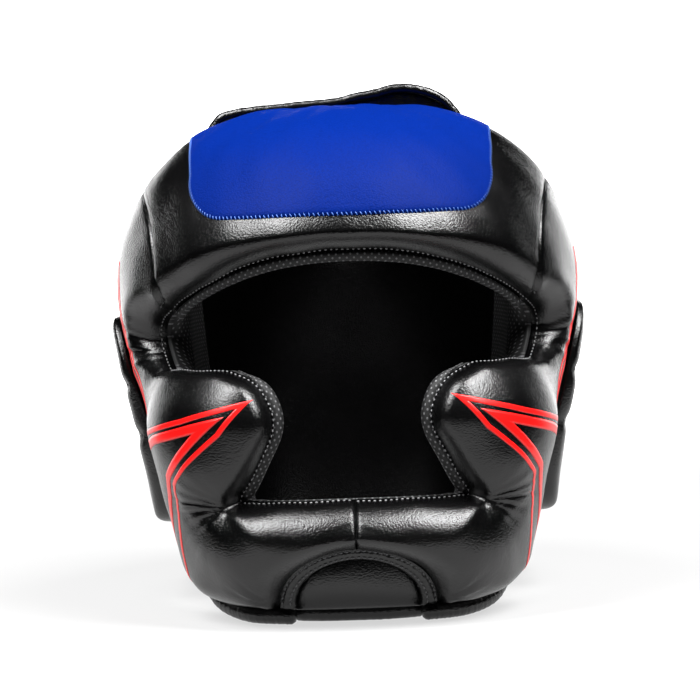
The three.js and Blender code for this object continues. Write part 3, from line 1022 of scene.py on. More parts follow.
BLACK_LEATHER = LeatherFinish("black leather", "leather", (0.0008, 0.0008, 0.0009))
BLUE_LEATHER = LeatherFinish(
    "blue leather", "blue_leather", (0.0001, 0.011, 0.135), roughness=0.5, specular=0.03
)
LINING = LiningFinish("dotted lining", "lining", (0.004, 0.004, 0.0043))
# Seam thread: black, given a dark grey that partly stands for its glints, a painted highlight.
BLACK_THREAD = PlainFinish("black thread", "leather", (0.09, 0.09, 0.093), roughness=0.22)
# Edge stitch thread: black thread given a mid grey, which paints glints onto the stitches.
GLINT_GREY_THREAD = PlainFinish("silver thread", "lining", (0.34, 0.34, 0.35), roughness=0.25)
BLUE_THREAD = PlainFinish("light blue thread", "blue_leather", (0.05, 0.14, 0.5), roughness=0.35)
RED_PRINT = PlainFinish("red print", "leather", (0.95, 0.006, 0.005), roughness=0.33)
WEBBING = WebbingFinish("black webbing", "webbing", (0.012, 0.012, 0.013))


def dress(piece: Piece, finish: Finish, *nodes: str, fill: float | None = None) -> None:
    """Gives a piece its finish and its place in the frame.

    Args:
        piece: the finished piece.
        finish: what it is made of or covered with.
        nodes: the CAD nodes that it stands for.
        fill: how tight its padding is, where it is padded; not used.
    """
    piece.data.materials.clear()
    piece.data.materials.append(finish.material())
    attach(piece, ROOT)
    if nodes:
        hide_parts(*nodes)
    log.info("%s: %d faces", piece.name, len(piece.data.polygons))


# Padding and creases

Relief = Callable[[Places], Array]
Profile = Callable[[Array, Array], Array]


@dataclass(frozen=True)
class Padding:
    """How a shell becomes a pad: it swells, is split finer and gets its creases, in millimetres.
    """

    cap: float = 1.6
    pinned_width: float = 5.0
    sharp_width: float = 0.3
    frames: int = 20
    pressure: float = 4.0
    quality: int = 4
    stretch_stiffness: float = 30.0
    bending_stiffness: float = 2.0

    def pad_object(self, name: str, layers: Layers, sewn: Sequence[Places], relief: Relief) -> Piece:
        """Makes a pad.

        Args:
            name: the pad's name.
            layers: its skin and inner face.
            sewn: its seams, which stay put.
            relief: millimetres that its skin is moved out at each place, for its creases.

        Returns:
            The pad.
        """
        pad = shell_object(name, layers)
        count = len(layers.outer)
        skin = pad.data.attributes.new("skin", "FLOAT", "POINT")
        skin.data.foreach_set("value", np.append(np.ones(count), np.zeros(count)))
        from_seam = FORM.edge_distance(layers.places, sewn)
        self.swell(pad, np.append(from_seam < self.pinned_width, np.ones(count, bool)))
        self.split(pad, np.tile(from_seam < self.sharp_width, 2))
        self.emboss(pad, relief)
        return pad

    def swell(self, pad: Piece, pinned: Array) -> None:
        """Blows the padding up a little with a cloth simulation, which is applied.

        Args:
            pad: a closed pad.
            pinned: which vertices are sewn or glued down.
        """
        scene = bpy.context.scene
        start = vertex_points(pad)
        group = pad.vertex_groups.new(name="pinned")
        group.add([int(i) for i in np.flatnonzero(pinned)], 1.0, "REPLACE")
        cloth = pad.modifiers.new("padding", "CLOTH")
        cloth.settings.vertex_group_mass = group.name
        cloth.settings.use_pressure = True
        cloth.settings.uniform_pressure_force = self.pressure
        cloth.settings.effector_weights.gravity = 0.0
        cloth.settings.quality = self.quality
        cloth.settings.tension_stiffness = self.stretch_stiffness
        cloth.settings.compression_stiffness = self.stretch_stiffness
        cloth.settings.bending_stiffness = self.bending_stiffness
        cloth.collision_settings.use_collision = False
        cloth.point_cache.frame_start = 1
        cloth.point_cache.frame_end = self.frames
        for step in range(1, self.frames + 1):
            scene.frame_set(step)
        apply_modifiers(pad)
        scene.frame_set(1)
        pad.vertex_groups.clear()
        move = vertex_points(pad) - start
        length = np.linalg.norm(move, axis=1, keepdims=True)
        move *= np.minimum(1, self.cap * MM / np.maximum(length, 1e-9))
        set_vertex_points(pad, start + move)

    def split(self, pad: Piece, sharp: Array) -> None:
        """Splits every face of a pad once, smoothly but for its sharp edges.

        Args:
            pad: the pad.
            sharp: true for each vertex of a sharp edge.
        """
        ends = np.empty(len(pad.data.edges) * 2, dtype=np.int32)
        pad.data.edges.foreach_get("vertices", ends)
        crease = pad.data.attributes.new("crease_edge", "FLOAT", "EDGE")
        crease.data.foreach_set("value", sharp[ends.reshape(-1, 2)].all(axis=1).astype(np.float32))
        split = pad.modifiers.new("refine", "SUBSURF")
        split.levels = 1
        split.render_levels = 1
        split.uv_smooth = "NONE"
        apply_modifiers(pad)

    def emboss(self, pad: Piece, relief: Relief) -> None:
        """Moves a pad's skin in and out along its normals.

        Args:
            pad: a pad whose skin attribute is 1 on the outside and 0 on the inside.
            relief: millimetres to move at each place.
        """
        skin = np.empty(len(pad.data.vertices))
        pad.data.attributes["skin"].data.foreach_get("value", skin)
        depth = (relief(vertex_places(pad)) * skin)[:, None]
        normals = rows_of(pad.data.vertex_normals, "vector")
        set_vertex_points(pad, vertex_points(pad) + normals * depth * MM)


PADDING = Padding()


def unevenness(places: Places, phase: float) -> Array:
    """Slow rises and hollows of hand-filled leather.

    Args:
        places: where to work them out.
        phase: shifts them, so that two pads differ.

    Returns:
        Millimetres out at each place.
    """
    height = 0.13
    waves = ((0.11, 0.05, 0.0), (-0.06, 0.13, 1.3), (0.19, -0.09, 2.1), (0.05, 0.21, 4.0), (0.27, 0.16, 5.2))
    round_it, up = FORM.flat(places).T
    return height * sum(np.sin(a * round_it + b * up + c + phase) for a, b, c in waves)


def seam_groove(places: Places, seams: Sequence[Places], phase: float) -> Array:
    """The groove along seams, with small puckers beside the thread.

    Args:
        places: where to work it out.
        seams: the seams.
        phase: shifts the puckers.

    Returns:
        Millimetres out at each place.
    """
    depth, width = 0.4, 0.9
    pucker_height, pucker_reach, pucker_start = 0.12, 3.5, 0.4
    distance = FORM.edge_distance(places, seams)
    along = places.girth + places.angle * 0.7
    pucker = np.sin(along * 1.45 + phase) + 0.6 * np.sin(along * 2.35 + 2 * phase)
    fade = np.exp(-distance / pucker_reach) * (distance > pucker_start)
    return -depth * bump(distance, 0, width) + pucker_height * pucker * fade


@dataclass(frozen=True)
class Gather:
    """Creases that fan out from a point where the leather is drawn together."""

    angle: float
    girth: float
    reach: float
    depth: float
    lines: float
    bearing: float
    spread: float

    def relief(self, places: Places, phase: float) -> Array:
        """Depth of the creases.

        Args:
            places: where to work them out.
            phase: shifts the creases, so that two sides differ.

        Returns:
            Millimetres out at each place.
        """
        centre = FORM.flat(line_of([(self.angle, self.girth)]))
        across, up = (FORM.flat(places) - centre).T
        distance = np.hypot(across, up)
        degrees = (np.degrees(np.arctan2(up, across)) - self.bearing + 540) % 360 - 180
        turn, near = np.radians(degrees), distance / (0.45 * self.reach)
        strength = near * np.exp(0.5 - 0.5 * near * near) * bump(degrees, 0, self.spread)
        swing = turn * self.lines + 0.9 * np.sin(turn * 3.1 + phase) + 0.06 * distance
        return self.depth * strength * (np.sin(swing + phase) + 0.55 * np.sin(2.3 * swing + 2 * phase))


class FreeEdge(NamedTuple):
    """A free edge of a pad, the width of its roll by angle and the roll's profile."""

    line: Places
    widths: Curve
    profile: Profile


@dataclass(frozen=True)
class EdgeRoll:
    """How pads roll to their free edges and dip at their seams, in millimetres."""

    share: float = 0.45
    edge_thickness: float = 1.0
    lining: float = 2.2
    lining_gap: float = 0.8
    seam_dip: float = 0.25
    seam_width: float = 2.2

    def offsets(
        self, places: Places, free: Sequence[FreeEdge], sewn: Sequence[Places]
    ) -> tuple[Array, Array]:
        """Offsets of a pad's skin and of its inner face.

        Args:
            places: the pad's places.
            free: its free edges, each with the widths and the shape of its roll.
            sewn: its seams.

        Returns:
            The skin's and the inner face's offsets.
        """
        full = FORM.padding(places)
        rise = np.ones(len(full))
        for line, widths, profile in free:
            width = widths.at(np.abs(places.angle))
            rise = np.minimum(rise, profile(FORM.edge_distance(places, [line]), width))
        edge = np.maximum(full * self.share, self.lining + self.lining_gap)
        dip = self.seam_dip * bump(FORM.edge_distance(places, sewn), 0, self.seam_width)
        skin = edge + self.edge_thickness + rise * (full - dip - edge - self.edge_thickness)
        return skin, edge + rise * (self.lining + self.lining_gap - edge)


ROLL = EdgeRoll()


# Rolls and stitches


@dataclass(frozen=True)
class GatheredRoll:
    """A leather roll whose cover is drawn into small gathers, in millimetres."""

    radius: float
    depth: float
    wave: float
    around: int
    step: float = 0.7
    end: float = 3.0

    def build(self, name: str, path: Array) -> Piece:
        """Builds the roll along a path.

        Args:
            name: the roll's name.
            path: points in metres.

        Returns:
            The roll, flattened where it meets the floor.
        """
        line = resampled(path, self.step * MM, 2)
        along = unit(np.gradient(line, axis=0))
        up = unit(np.array((0.0, 0.0, 1.0)) - along * along[:, 2:])
        beside = np.cross(along, up)
        length = np.arange(len(line)) * self.step
        taper = quarter_round(np.minimum(length, length[::-1]) + 0.05, self.end)
        turn = 2 * np.pi * np.arange(self.around) / self.around
        position, angle = np.meshgrid(length, turn, indexing="ij")
        phase = 2 * np.pi * position / self.wave
        waves = np.sin(phase + 1.2 * np.sin(angle * 2) + 0.7 * np.sin(position * 0.31))
        waves += 0.6 * np.sin(phase / 1.7 + 2.1 * np.cos(angle) + 1.0)
        slow = 0.05 * self.radius * np.sin(position * 0.17 + 0.8) * np.sin(angle + position * 0.05)
        radius = (self.radius + self.depth * waves * 0.6 + slow) * taper[:, None]
        ring = np.cos(angle)[..., None] * beside[:, None, :] + np.sin(angle)[..., None] * up[:, None, :]
        points = line[:, None, :] + ring * radius[..., None] * MM
        points[..., 2] = np.maximum(points[..., 2], 0)
        return ringed_object(name, points)


@dataclass(frozen=True)
class Stitch:
    """One kind of stitch with its thread, in millimetres and degrees."""

    thread: Finish
    pitch: float
    length: float
    radius: float
    lift: float
    swing: float = 0.0
    sides: int = 6
    wander: float = 0.16
    profile: tuple[Triple, ...] = (
        (-0.5, 0.35, -0.55), (-0.26, 1.0, 0.0), (0.26, 1.0, 0.0), (0.5, 0.35, -0.55),
    )

    def sew(self, name: str, points: Array, normals: Array) -> None:
        """Sews a row of small rounded stitches, all as one piece.

        Args:
            name: the row's name.
            points: close points along the row, in metres.
            normals: the surface's normals there.
        """
        lengths, ahead_by = lengths_along(points) / MM, 0.4
        middles = np.arange(self.pitch / 2, lengths[-1], self.pitch)
        outs = read_along(normals, lengths, middles)
        before, centres, after = (
            read_along(points, lengths, middles + shift) for shift in (-ahead_by, 0, ahead_by)
        )
        ahead = unit(after - before)
        swing = (np.radians(self.swing) + self.wander * np.sin(middles * 1.9))[:, None]
        ways = ahead * np.cos(swing) + np.cross(ahead, outs) * np.sin(swing)
        turns = 2 * np.pi * np.arange(self.sides)[:, None] / self.sides
        vertices: list[Array] = []
        faces: list[tuple[int, ...]] = []
        for centre, way, out, aside in zip(centres, ways, outs, np.cross(ways, outs)):
            faces += tube_faces(len(self.profile), self.sides, self.sides * len(vertices))
            ring = aside * np.cos(turns) + out * np.sin(turns)
            for place, size, sink in self.profile:
                middle = centre + (way * place * self.length + out * (self.lift + sink * self.radius)) * MM
                vertices.append(middle + ring * self.radius * size * MM)
        dress(mesh_object(name, np.concatenate(vertices), faces), self.thread)


DARK_STITCH = Stitch(BLACK_THREAD, pitch=2.7, length=1.9, radius=0.38, lift=0.3)
EDGE_STITCH = Stitch(GLINT_GREY_THREAD, pitch=2.6, length=1.3, radius=0.3, lift=0.05)
BLUE_STITCH = Stitch(BLUE_THREAD, pitch=2.2, length=2.0, radius=0.27, lift=0.08, swing=65)


def sew_seam(name: str, surface: Surface, seam: Places, side: Side) -> None:
    """Sews the row along a seam between two pads."""
    DARK_STITCH.sew(name, *surface.lay(FORM.moved_line(seam, step=0.6, rounds=4, aside=0.0), side))


def sew_edge(name: str, surface: Surface, edge: Places, side: Side) -> None:
    """Sews the row where a pad's rolled edge meets its lining.

    Args:
        name: the row's name.
        surface: the pad.
        edge: its edge, counted as on the left.
        side: left or right.
    """
    outside = 1.2
    places = FORM.moved_line(edge, step=0.6, rounds=6, aside=-0.1)
    starts = FORM.points(places, FORM.padding(places) * ROLL.share + ROLL.edge_thickness + outside)
    EDGE_STITCH.sew(name, *surface.nearest(side.mirror(starts)))


# Forehead

FOREHEAD_SEAM = Curve(((-13, 60), (-4, 56.5), (6, 55.5), (18, 56.2), (34, 58.6), (62, 62.3), (84, 62.3)))


@dataclass
class Forehead:
    """The forehead pad with its lining, in degrees and millimetres."""

    temple: float = 60.0
    brow_middle: float = 169.5
    brow_temple: float = 142.0
    brow_sharpness: float = 2.1
    crown_edge: float = 84.0
    brow_roll: Curve = Curve(((0, 4.6), (20, 5.4), (40, 8.8), (58, 11.5)))
    crown_roll: Curve = even(16)
    panel_groove: float = 0.2
    panel_groove_width: float = 2.2
    lip: float = 4.5
    lip_rows: Shares = (1, 0.92, 0.75, 0.5, 0.25)
    lip_proud: float = 0.6
    lip_fall: float = 2.2
    dots_per_degree: float = 1.9
    columns: int = 91
    rows: Shares = (0, 0.05, 0.13, 0.27, 0.42, 0.57, 0.72, 0.86, 0.95, 1)
    fineness: int = 5

    def row(self, share: float, raised: float = 0.0) -> Places:
        """One row of places across the forehead.

        Args:
            share: 0 at the brow edge and 1 at the crown edge.
            raised: millimetres above the brow edge, for the rows of the lip.

        Returns:
            The places from the right temple to the left one.
        """
        across = np.linspace(-1, 1, self.columns)
        fall = np.abs(across) ** self.brow_sharpness * (self.brow_middle - self.brow_temple)
        brow = FORM.sagittal_at(across * self.temple, self.brow_middle - fall + raised)
        sagittal = brow + share * (self.crown_edge - brow)
        return FORM.crown_places(across * (FOREHEAD_SEAM.at(sagittal[-1]) - SEWN_GAP), sagittal)

    def pad_rows(self) -> list[Places]:
        """The rows of the pad from the brow to the crown."""
        return [self.row(share) for share in refined(self.rows, self.fineness)]

    def free_edges(self, rows: Sequence[Places]) -> list[FreeEdge]:
        """The edges of the pad: a firm one at the brow and a round one at the crown."""
        return [FreeEdge(rows[0], self.brow_roll, ridged), FreeEdge(rows[-1], self.crown_roll, quarter_round)]

    def build(self, panel_edge: Places) -> Piece:
        """Builds the leather pad.

        Args:
            panel_edge: the outline of the panel that is sewn on it.

        Returns:
            The pad.
        """
        rows = self.pad_rows()
        places = joined(rows)
        seams = [row_ends(rows, end) for end in (0, -1)]
        skin, inside = ROLL.offsets(places, self.free_edges(rows), seams)

        def relief(spots: Places) -> Array:
            """Seam grooves, the groove round the panel and slow unevenness."""
            sunk = bump(FORM.edge_distance(spots, [panel_edge]), 0, self.panel_groove_width)
            return seam_groove(spots, seams, 0.4) - self.panel_groove * sunk + unevenness(spots, 0.3)

        layers = Layers.off_form(places, skin, inside, grid_cells(len(rows), self.columns))
        pad = PADDING.pad_object("forehead_leather", layers, seams, relief)
        dress(pad, BLACK_LEATHER, "forehead_pad", fill=0.9)
        return pad

    def build_lining(self) -> None:
        """Builds the lining, whose lip hangs below the brow edge."""
        lip_rows = [self.row(0, -self.lip * share) for share in self.lip_rows]
        pad_rows = self.pad_rows()
        rows = lip_rows + pad_rows
        places = joined(rows)
        _, inside = ROLL.offsets(places, self.free_edges(pad_rows), [])
        below = FORM.edge_distance(places, [pad_rows[0]]) / self.lip
        lipped = np.arange(len(places.angle)) < len(lip_rows) * self.columns
        lip = FORM.padding(places) * ROLL.share + self.lip_proud - self.lip_fall * below**3
        skin = np.where(lipped, lip, inside - ROLL.lining_gap)
        layers = Layers.off_form(places, skin, skin - ROLL.lining, grid_cells(len(rows), self.columns))
        lining = shell_object("forehead_lining_cloth", layers)
        fall = lengths_along(layers.outer.reshape(-1, self.columns, 3)).ravel() / MM
        flat = np.stack((places.angle * self.dots_per_degree, fall), axis=-1)
        set_flat_map(lining, np.tile(flat, (2, 1)))
        dress(lining, LINING, "forehead_lining", fill=0.5)


@dataclass
class BrowPanel:
    """The blue panel on the brow, in degrees and millimetres."""

    bottom: float = 180.5
    corner: float = 20.0
    top_end: float = 83.0
    thickness: float = 0.6
    edge_height: float = 0.25
    sunk: float = 0.3
    sides: Curve = Curve(((0, 42.7), (0.2, 43.5), (0.5, 44.1), (1, 44.2)))
    aside: float = -1.0
    lean: float = 0.3
    columns: int = 96
    rows: int = 60
    edge_roll: float = 1.2
    stitches_aside: float = 0.5

    def place(self, across: Array, up: Array) -> Places:
        """Places of the panel.

        Args:
            across: shares from its right side to its left one.
            up: shares from its lower edge to its upper one.

        Returns:
            The places.
        """
        side = np.sin(np.pi * (across - 0.5))
        start = self.sides.values[0]
        from_side = (1 - np.abs(side)) * start * FORM.arc_per_degree
        corner = self.corner * (1 - quarter_round(from_side, self.corner))
        low = FORM.sagittal_at(side * start, self.bottom + corner)
        over = low + up * (self.top_end - low)
        side_low = FORM.sagittal_at(start, self.bottom + self.corner)
        half = self.sides.at((over - side_low) / (self.top_end - side_low))
        return FORM.crown_places(self.aside + self.lean * up + side * half, over)

    def outline(self) -> Places:
        """The sides and the lower edge.

        Returns:
            The places from the top left round to the top right.
        """
        shares = np.linspace(0, 1, 60)
        left = self.place(np.ones(len(shares)), shares[::-1])
        low = self.place(shares[::-1], np.zeros(len(shares)))
        right = self.place(np.zeros(len(shares)), shares)
        return joined([left, low.only(slice(1, -1)), right])

    def build(self, surface: Surface) -> Piece:
        """Builds the panel on the forehead.

        Args:
            surface: the forehead pad.

        Returns:
            The panel.
        """
        places = self.place(*grid_of(np.linspace(0, 1, self.columns), np.linspace(0, 1, self.rows)))
        rise = quarter_round(FORM.edge_distance(places, [self.outline()]), self.edge_roll)
        heights = (self.edge_height + rise * self.thickness, -self.sunk)
        cells = grid_cells(self.rows, self.columns)
        panel = shell_object("brow_panel_leather", Layers.on_surface(surface, places, heights, cells))
        dress(panel, BLUE_LEATHER, "forehead_panel")
        return panel

    def sew(self, panel: Piece) -> None:
        """Sews the stitches round the panel."""
        edge = FORM.moved_line(self.outline(), step=0.8, rounds=2, aside=self.stitches_aside)
        BLUE_STITCH.sew("brow_panel_stitches", *Surface(panel).lay(edge))


# Cheeks


@dataclass(frozen=True)
class Arch:
    """The arch under the chin bar, in degrees and millimetres."""

    foot: float = 22.5
    half_width: float = 33.0
    base: float = 3.6
    rise: float = 29.5
    spread: float = 0.8

    def flat(self, angle: Array) -> tuple[Array, Array]:
        """The arch drawn flat.

        Args:
            angle: where along it.

        Returns:
            Millimetres across and up.
        """
        sine = np.sin(np.radians(angle)) / math.sin(math.radians(self.foot))
        share = np.sign(sine) * np.abs(sine) ** self.spread
        return self.half_width * share, self.base + self.rise * np.sqrt(np.maximum(1 - share * share, 0))


ARCH = Arch()


@dataclass
class Cheeks:
    """The cheek pads, each a side, a cheek and half a chin bar in one, in degrees and millimetres."""

    cheek_top: float = 114.0
    chin_top: float = 55.5
    temple: Curve = Curve(((114, 63), (120, 67.5), (129, 70.5), (137, 67), (142, 60)))
    lobe: Curve = Curve(
        ((2, 22.5), (55.5, 31), (65, 27), (76, 22.6), (86, 18.8), (94, 18.2), (104, 21.3))
        + ((110, 26), (114, 33))
    )
    jaw: Curve = Curve(
        ((22.5, 3.6), (29, 4), (35, 4.6), (42, 5.5), (50, 8), (58, 13), (66, 20), (76, 27))
        + ((88, 31.5), (112, 34))
    )
    seam_rows: Pairs = ((84, 186), (76, 182), (62, 175), (42, 167), (22, 160), (4, 152), (-13, 142))
    temple_rows: Shares = (142, 137, 129, 120)
    cheek_rows: Shares = (114, 110, 104, 94, 82, 69, 60)
    jaw_rows: Shares = (0, 0.12, 0.32, 0.5, 0.68, 0.88, 1)
    side_steps: Shares = (0, 0.2, 0.4, 0.6, 0.82, 0.93, 1)
    cheek_steps: Shares = (0, 0.25, 0.5, 0.76, 0.91, 1)
    chin_steps: Shares = (0, 0.2, 0.4, 0.6, 0.8, 1)
    rolls: tuple[tuple[str, Curve, Profile], ...] = (
        ("crown", even(16), quarter_round),
        ("temple", even(11), ridged),
        ("lobe", even(4.5), domed),
        ("chin_top", Curve(((0, 22), (17, 21), (25, 15), (31, 9), (112, 7))), quarter_round),
        ("jaw", Curve(((0, 12), (24, 10), (112, 10))), quarter_round),
    )
    gathers: tuple[Gather, ...] = (
        Gather(31, 55.5, reach=27, depth=0.46, lines=19, bearing=-4, spread=58),
        Gather(66, 122, reach=28, depth=0.5, lines=9, bearing=10, spread=45),
        Gather(22.5, 8, reach=15, depth=0.4, lines=9, bearing=35, spread=60),
    )
    hem_width: float = 2.6
    hem_depth: float = 3.4
    hem_inside: float = 1.0
    hem_end: float = 31.0
    hem_above_chin: float = 2.5
    fineness: int = 4

    def jaw_edge(self, angle: Array) -> Array:
        """Girth of the lower edge: the arch under the chin, then the jaw."""
        _, arch = ARCH.flat(np.minimum(angle, ARCH.foot))
        return np.where(angle < ARCH.foot, arch, self.jaw.at(angle))

    def rows(self) -> list[Places]:
        """Rows of places, longer from the cheek and from the chin on.

        Returns:
            The rows from the crown edge down to the jaw.
        """
        fine, rear = self.fineness, REAR_SEAM - SEWN_GAP
        side = np.array(refined(self.side_steps, fine))
        cheek = np.array(refined(self.cheek_steps, fine))[1:]
        chin = np.array(refined(self.chin_steps, fine))[1:]
        foot = self.temple.at(self.cheek_top)
        to_foot = rear + side * (foot - rear)
        rows = []
        for sagittal, rear_girth in zip(*(refined(column, fine) for column in zip(*self.seam_rows))):
            front = FORM.crown_places(FOREHEAD_SEAM.at(sagittal) + SEWN_GAP, np.array(sagittal))
            angle = rear + side * (front.angle - rear)
            rows.append(Places(angle, rear_girth + side * (front.girth - rear_girth)))
        for girth in refined(self.temple_rows + (self.cheek_top,), fine)[1:-1]:
            rows.append(Places(rear + side * (self.temple.at(girth) - rear), np.full(len(side), girth)))
        for girth in refined(self.cheek_rows + (self.chin_top,), fine)[:-1]:
            angle = np.append(to_foot, foot + cheek * (self.lobe.at(girth) - foot))
            rows.append(Places(angle, np.full(len(angle), girth)))
        for share in refined(self.jaw_rows, fine):
            lobe = self.lobe.at(self.chin_top + share * (self.lobe.keys[0] - self.chin_top))
            angle = np.concatenate((to_foot, foot + cheek * (lobe - foot), lobe * (1 - chin)))
            rows.append(Places(angle, self.chin_top + share * (self.jaw_edge(angle) - self.chin_top)))
        return rows

    def cells(self, rows: Sequence[Places]) -> list[Cell]:
        """Cells between the rows, each as far as the shorter row reaches.

        Args:
            rows: the rows of a pad.

        Returns:
            The cells.
        """
        starts = np.cumsum([0] + [len(row.angle) for row in rows]).tolist()
        found = []
        for row, top, under in zip(rows, starts, starts[1:-1]):
            found += [(top + i, under + i, under + i + 1, top + i + 1) for i in range(len(row.angle) - 1)]
        return found

    def lines(self) -> dict[str, Places]:
        """The pad's edges and seams.

        Returns:
            Their lines by name, the opening's from the temple to the chin.
        """
        rows = self.rows()
        lengths = [len(row.angle) for row in rows]
        short, middle, long = sorted(set(lengths))
        cheek, chin = lengths.index(middle), lengths.index(long)
        seam_end = (len(self.seam_rows) - 1) * self.fineness
        ends = list(zip(*row_ends(rows, -1)))
        cheek_top = list(zip(*rows[cheek].only(slice(short - 1, None))))
        chin_top = list(zip(*rows[chin].only(slice(middle - 1, None))))
        temple, lobe = ends[seam_end:cheek], ends[cheek + 1 : chin]
        return {
            "crown": rows[0],
            "temple": line_of(temple + cheek_top[:1]),
            "lobe": line_of(cheek_top + lobe + chin_top[:1]),
            "chin_top": line_of(chin_top),
            "opening": line_of(temple + cheek_top + lobe + chin_top),
            "jaw": rows[-1],
            "forehead": line_of(ends[: seam_end + 1]),
            "chin": line_of(ends[chin:]),
            "rear": row_ends(rows, 0),
        }

    def free_edges(self) -> list[FreeEdge]:
        """The rolled edges of a pad with the widths of their rolls."""
        lines = self.lines()
        return [FreeEdge(lines[name], widths, profile) for name, widths, profile in self.rolls]

    def layers(self, side: Side, rows: Sequence[Places], skin: Array, inside: Array) -> Layers:
        """Layers of one side, kept off the middle.

        Args:
            side: left or right.
            rows: rows of places, counted as on the left.
            skin: the offset of the outer layer.
            inside: the offset of the inner layer.

        Returns:
            The layers.
        """
        layers = Layers.off_form(joined(rows), skin, inside, self.cells(rows))
        least = np.array((SEWN_GAP * MM, -np.inf, -np.inf))
        outer, inner = (side.mirror(np.maximum(layer, least)) for layer in (layers.outer, layers.inner))
        return layers._replace(outer=outer, inner=inner)

    def build(self, side: Side) -> Piece:
        """Builds one leather pad.

        Args:
            side: left or right.

        Returns:
            The pad.
        """
        rows, lines = self.rows(), self.lines()
        sewn = [lines[name] for name in ("forehead", "chin", "rear")]
        skin, inside = ROLL.offsets(joined(rows), self.free_edges(), sewn)
        phase = 0.8 * side.value

        def relief(spots: Places) -> Array:
            """Seam grooves, the gathers and slow unevenness."""
            gathered = sum(gather.relief(spots, phase) for gather in self.gathers)
            return seam_groove(spots, sewn, phase) + gathered + unevenness(spots, phase)

        layers = self.layers(side, rows, skin, inside)
        pad = PADDING.pad_object(f"cheek_leather_{side.word}", layers, sewn, relief)
        dress(pad, BLACK_LEATHER, f"cheek_pad_{side.word}", fill=0.9)
        return pad

    def build_lining(self, side: Side) -> None:
        """Builds the lining of one pad with its rounded hem.

        Args:
            side: left or right.
        """
        rows = self.rows()
        places = joined(rows)
        _, inside = ROLL.offsets(places, self.free_edges(), [])
        skin = inside - ROLL.lining_gap
        layers = self.layers(side, rows, skin, skin - ROLL.lining)
        lining = shell_object(f"cheek_lining_cloth_{side.word}", layers)
        row_points = np.split(layers.outer, np.cumsum([len(row.angle) for row in rows])[:-1])
        along = np.concatenate([lengths_along(points) / MM for points in row_points])
        set_flat_map(lining, np.tile(np.stack((along, places.girth), axis=-1), (2, 1)))
        join_pieces(lining, self.hem(side))
        dress(lining, LINING, f"cheek_lining_{side.word}", fill=0.5)

    def hem(self, side: Side) -> Piece:
        """Builds the rounded hem of the lining along the lobe, from its top to the mouth corner.

        Args:
            side: left or right.

        Returns:
            The hem.
        """
        around, taper_steps, least_share = 16, 16, 0.15
        path = FORM.moved_line(self.lines()["opening"], step=1.2, rounds=10, aside=self.hem_inside)
        path = path.only((path.angle < self.hem_end) & (path.girth > self.chin_top + self.hem_above_chin))
        middle = FORM.padding(path) * ROLL.share - self.hem_inside
        shrink = np.maximum(smoothstep(np.arange(len(middle)), 0, taper_steps), least_share)
        flat = FORM.flat(path)
        beside = right_of(flat)
        rings = []
        for turn in np.linspace(-np.pi / 2, 1.5 * np.pi, around, endpoint=False):
            places = FORM.unflat(flat + beside * (self.hem_width * math.cos(turn) * shrink)[:, None])
            rings.append(FORM.points(places, middle + self.hem_depth * math.sin(turn) * shrink))
        return ringed_object(f"cheek_hem_{side.word}", side.mirror(np.stack(rings, axis=1)))


@dataclass
class Stripes:
    """The nested red lines on the cheeks, two corners of a star, in degrees and millimetres."""

    outer: Pairs = (
        (78, 164), (79, 135), (71, 86), (53.4, 90.2), (40.6, 93.5), (30, 97.3), (23.8, 100),
        (29.5, 88.4), (38.5, 77.5), (46.3, 67.3), (48.8, 55), (50.5, 40), (52.5, 22), (54, 12),
    )
    inner: Pairs = (
        (81.2, 158), (82.2, 132), (74, 79), (53, 86.4), (42, 89.2), (32.2, 92.1),
        (40.5, 81.4), (49.3, 70.2), (54.5, 56), (59, 40), (63, 24),
    )
    outer_width: float = 2.0
    inner_width: float = 3.7
    lift: float = 0.14
    sunk: float = 0.2
    rows: int = 5
    step: float = 0.9
    sharpest: float = 0.16

    def build(self, surface: Surface, side: Side) -> None:
        """Lays both lines on one cheek.

        Args:
            surface: the cheek pad.
            side: left or right.
        """
        lines = (("outer", self.outer, self.outer_width), ("inner", self.inner, self.inner_width))
        for name, line, width in lines:
            left, right = self.borders(FORM.flat(line_of(line)), width / 2)
            shares = np.linspace(0, 1, self.rows)
            places = FORM.unflat(np.concatenate([left + share * (right - left) for share in shares]))
            cells = grid_cells(self.rows, len(left))
            layers = Layers.on_surface(surface, places, (self.lift, -self.sunk), cells, side)
            dress(shell_object(f"cheek_stripe_{name}_{side.word}", layers), RED_PRINT)

    def borders(self, line: Array, half: float) -> list[Array]:
        """The two borders of a line with sharp corners, at close steps.

        Args:
            line: the corners of the line, laid flat.
            half: half its width.

        Returns:
            Points of the left and of the right border, in pairs.
        """
        ways = unit(np.diff(line, axis=0))
        before, after = np.vstack((ways[:1], ways)), np.vstack((ways, ways[-1:]))
        both = before + after
        normal = unit(np.stack((-both[:, 1], both[:, 0]), axis=-1))
        lean = np.abs(normal[:, 0] * -before[:, 1] + normal[:, 1] * before[:, 0])
        mitre = normal * (half / np.maximum(lean, self.sharpest))[:, None]
        counts = [max(int(np.hypot(*(b - a)) / self.step), 2) for a, b in zip(line, line[1:])]
        steps = [i + np.linspace(0, 1, count, endpoint=False) for i, count in enumerate(counts)]
        where = np.append(np.concatenate(steps), len(line) - 1)
        return [read_along(edge, np.arange(len(line)), where) for edge in (line + mitre, line - mitre)]


# Chin


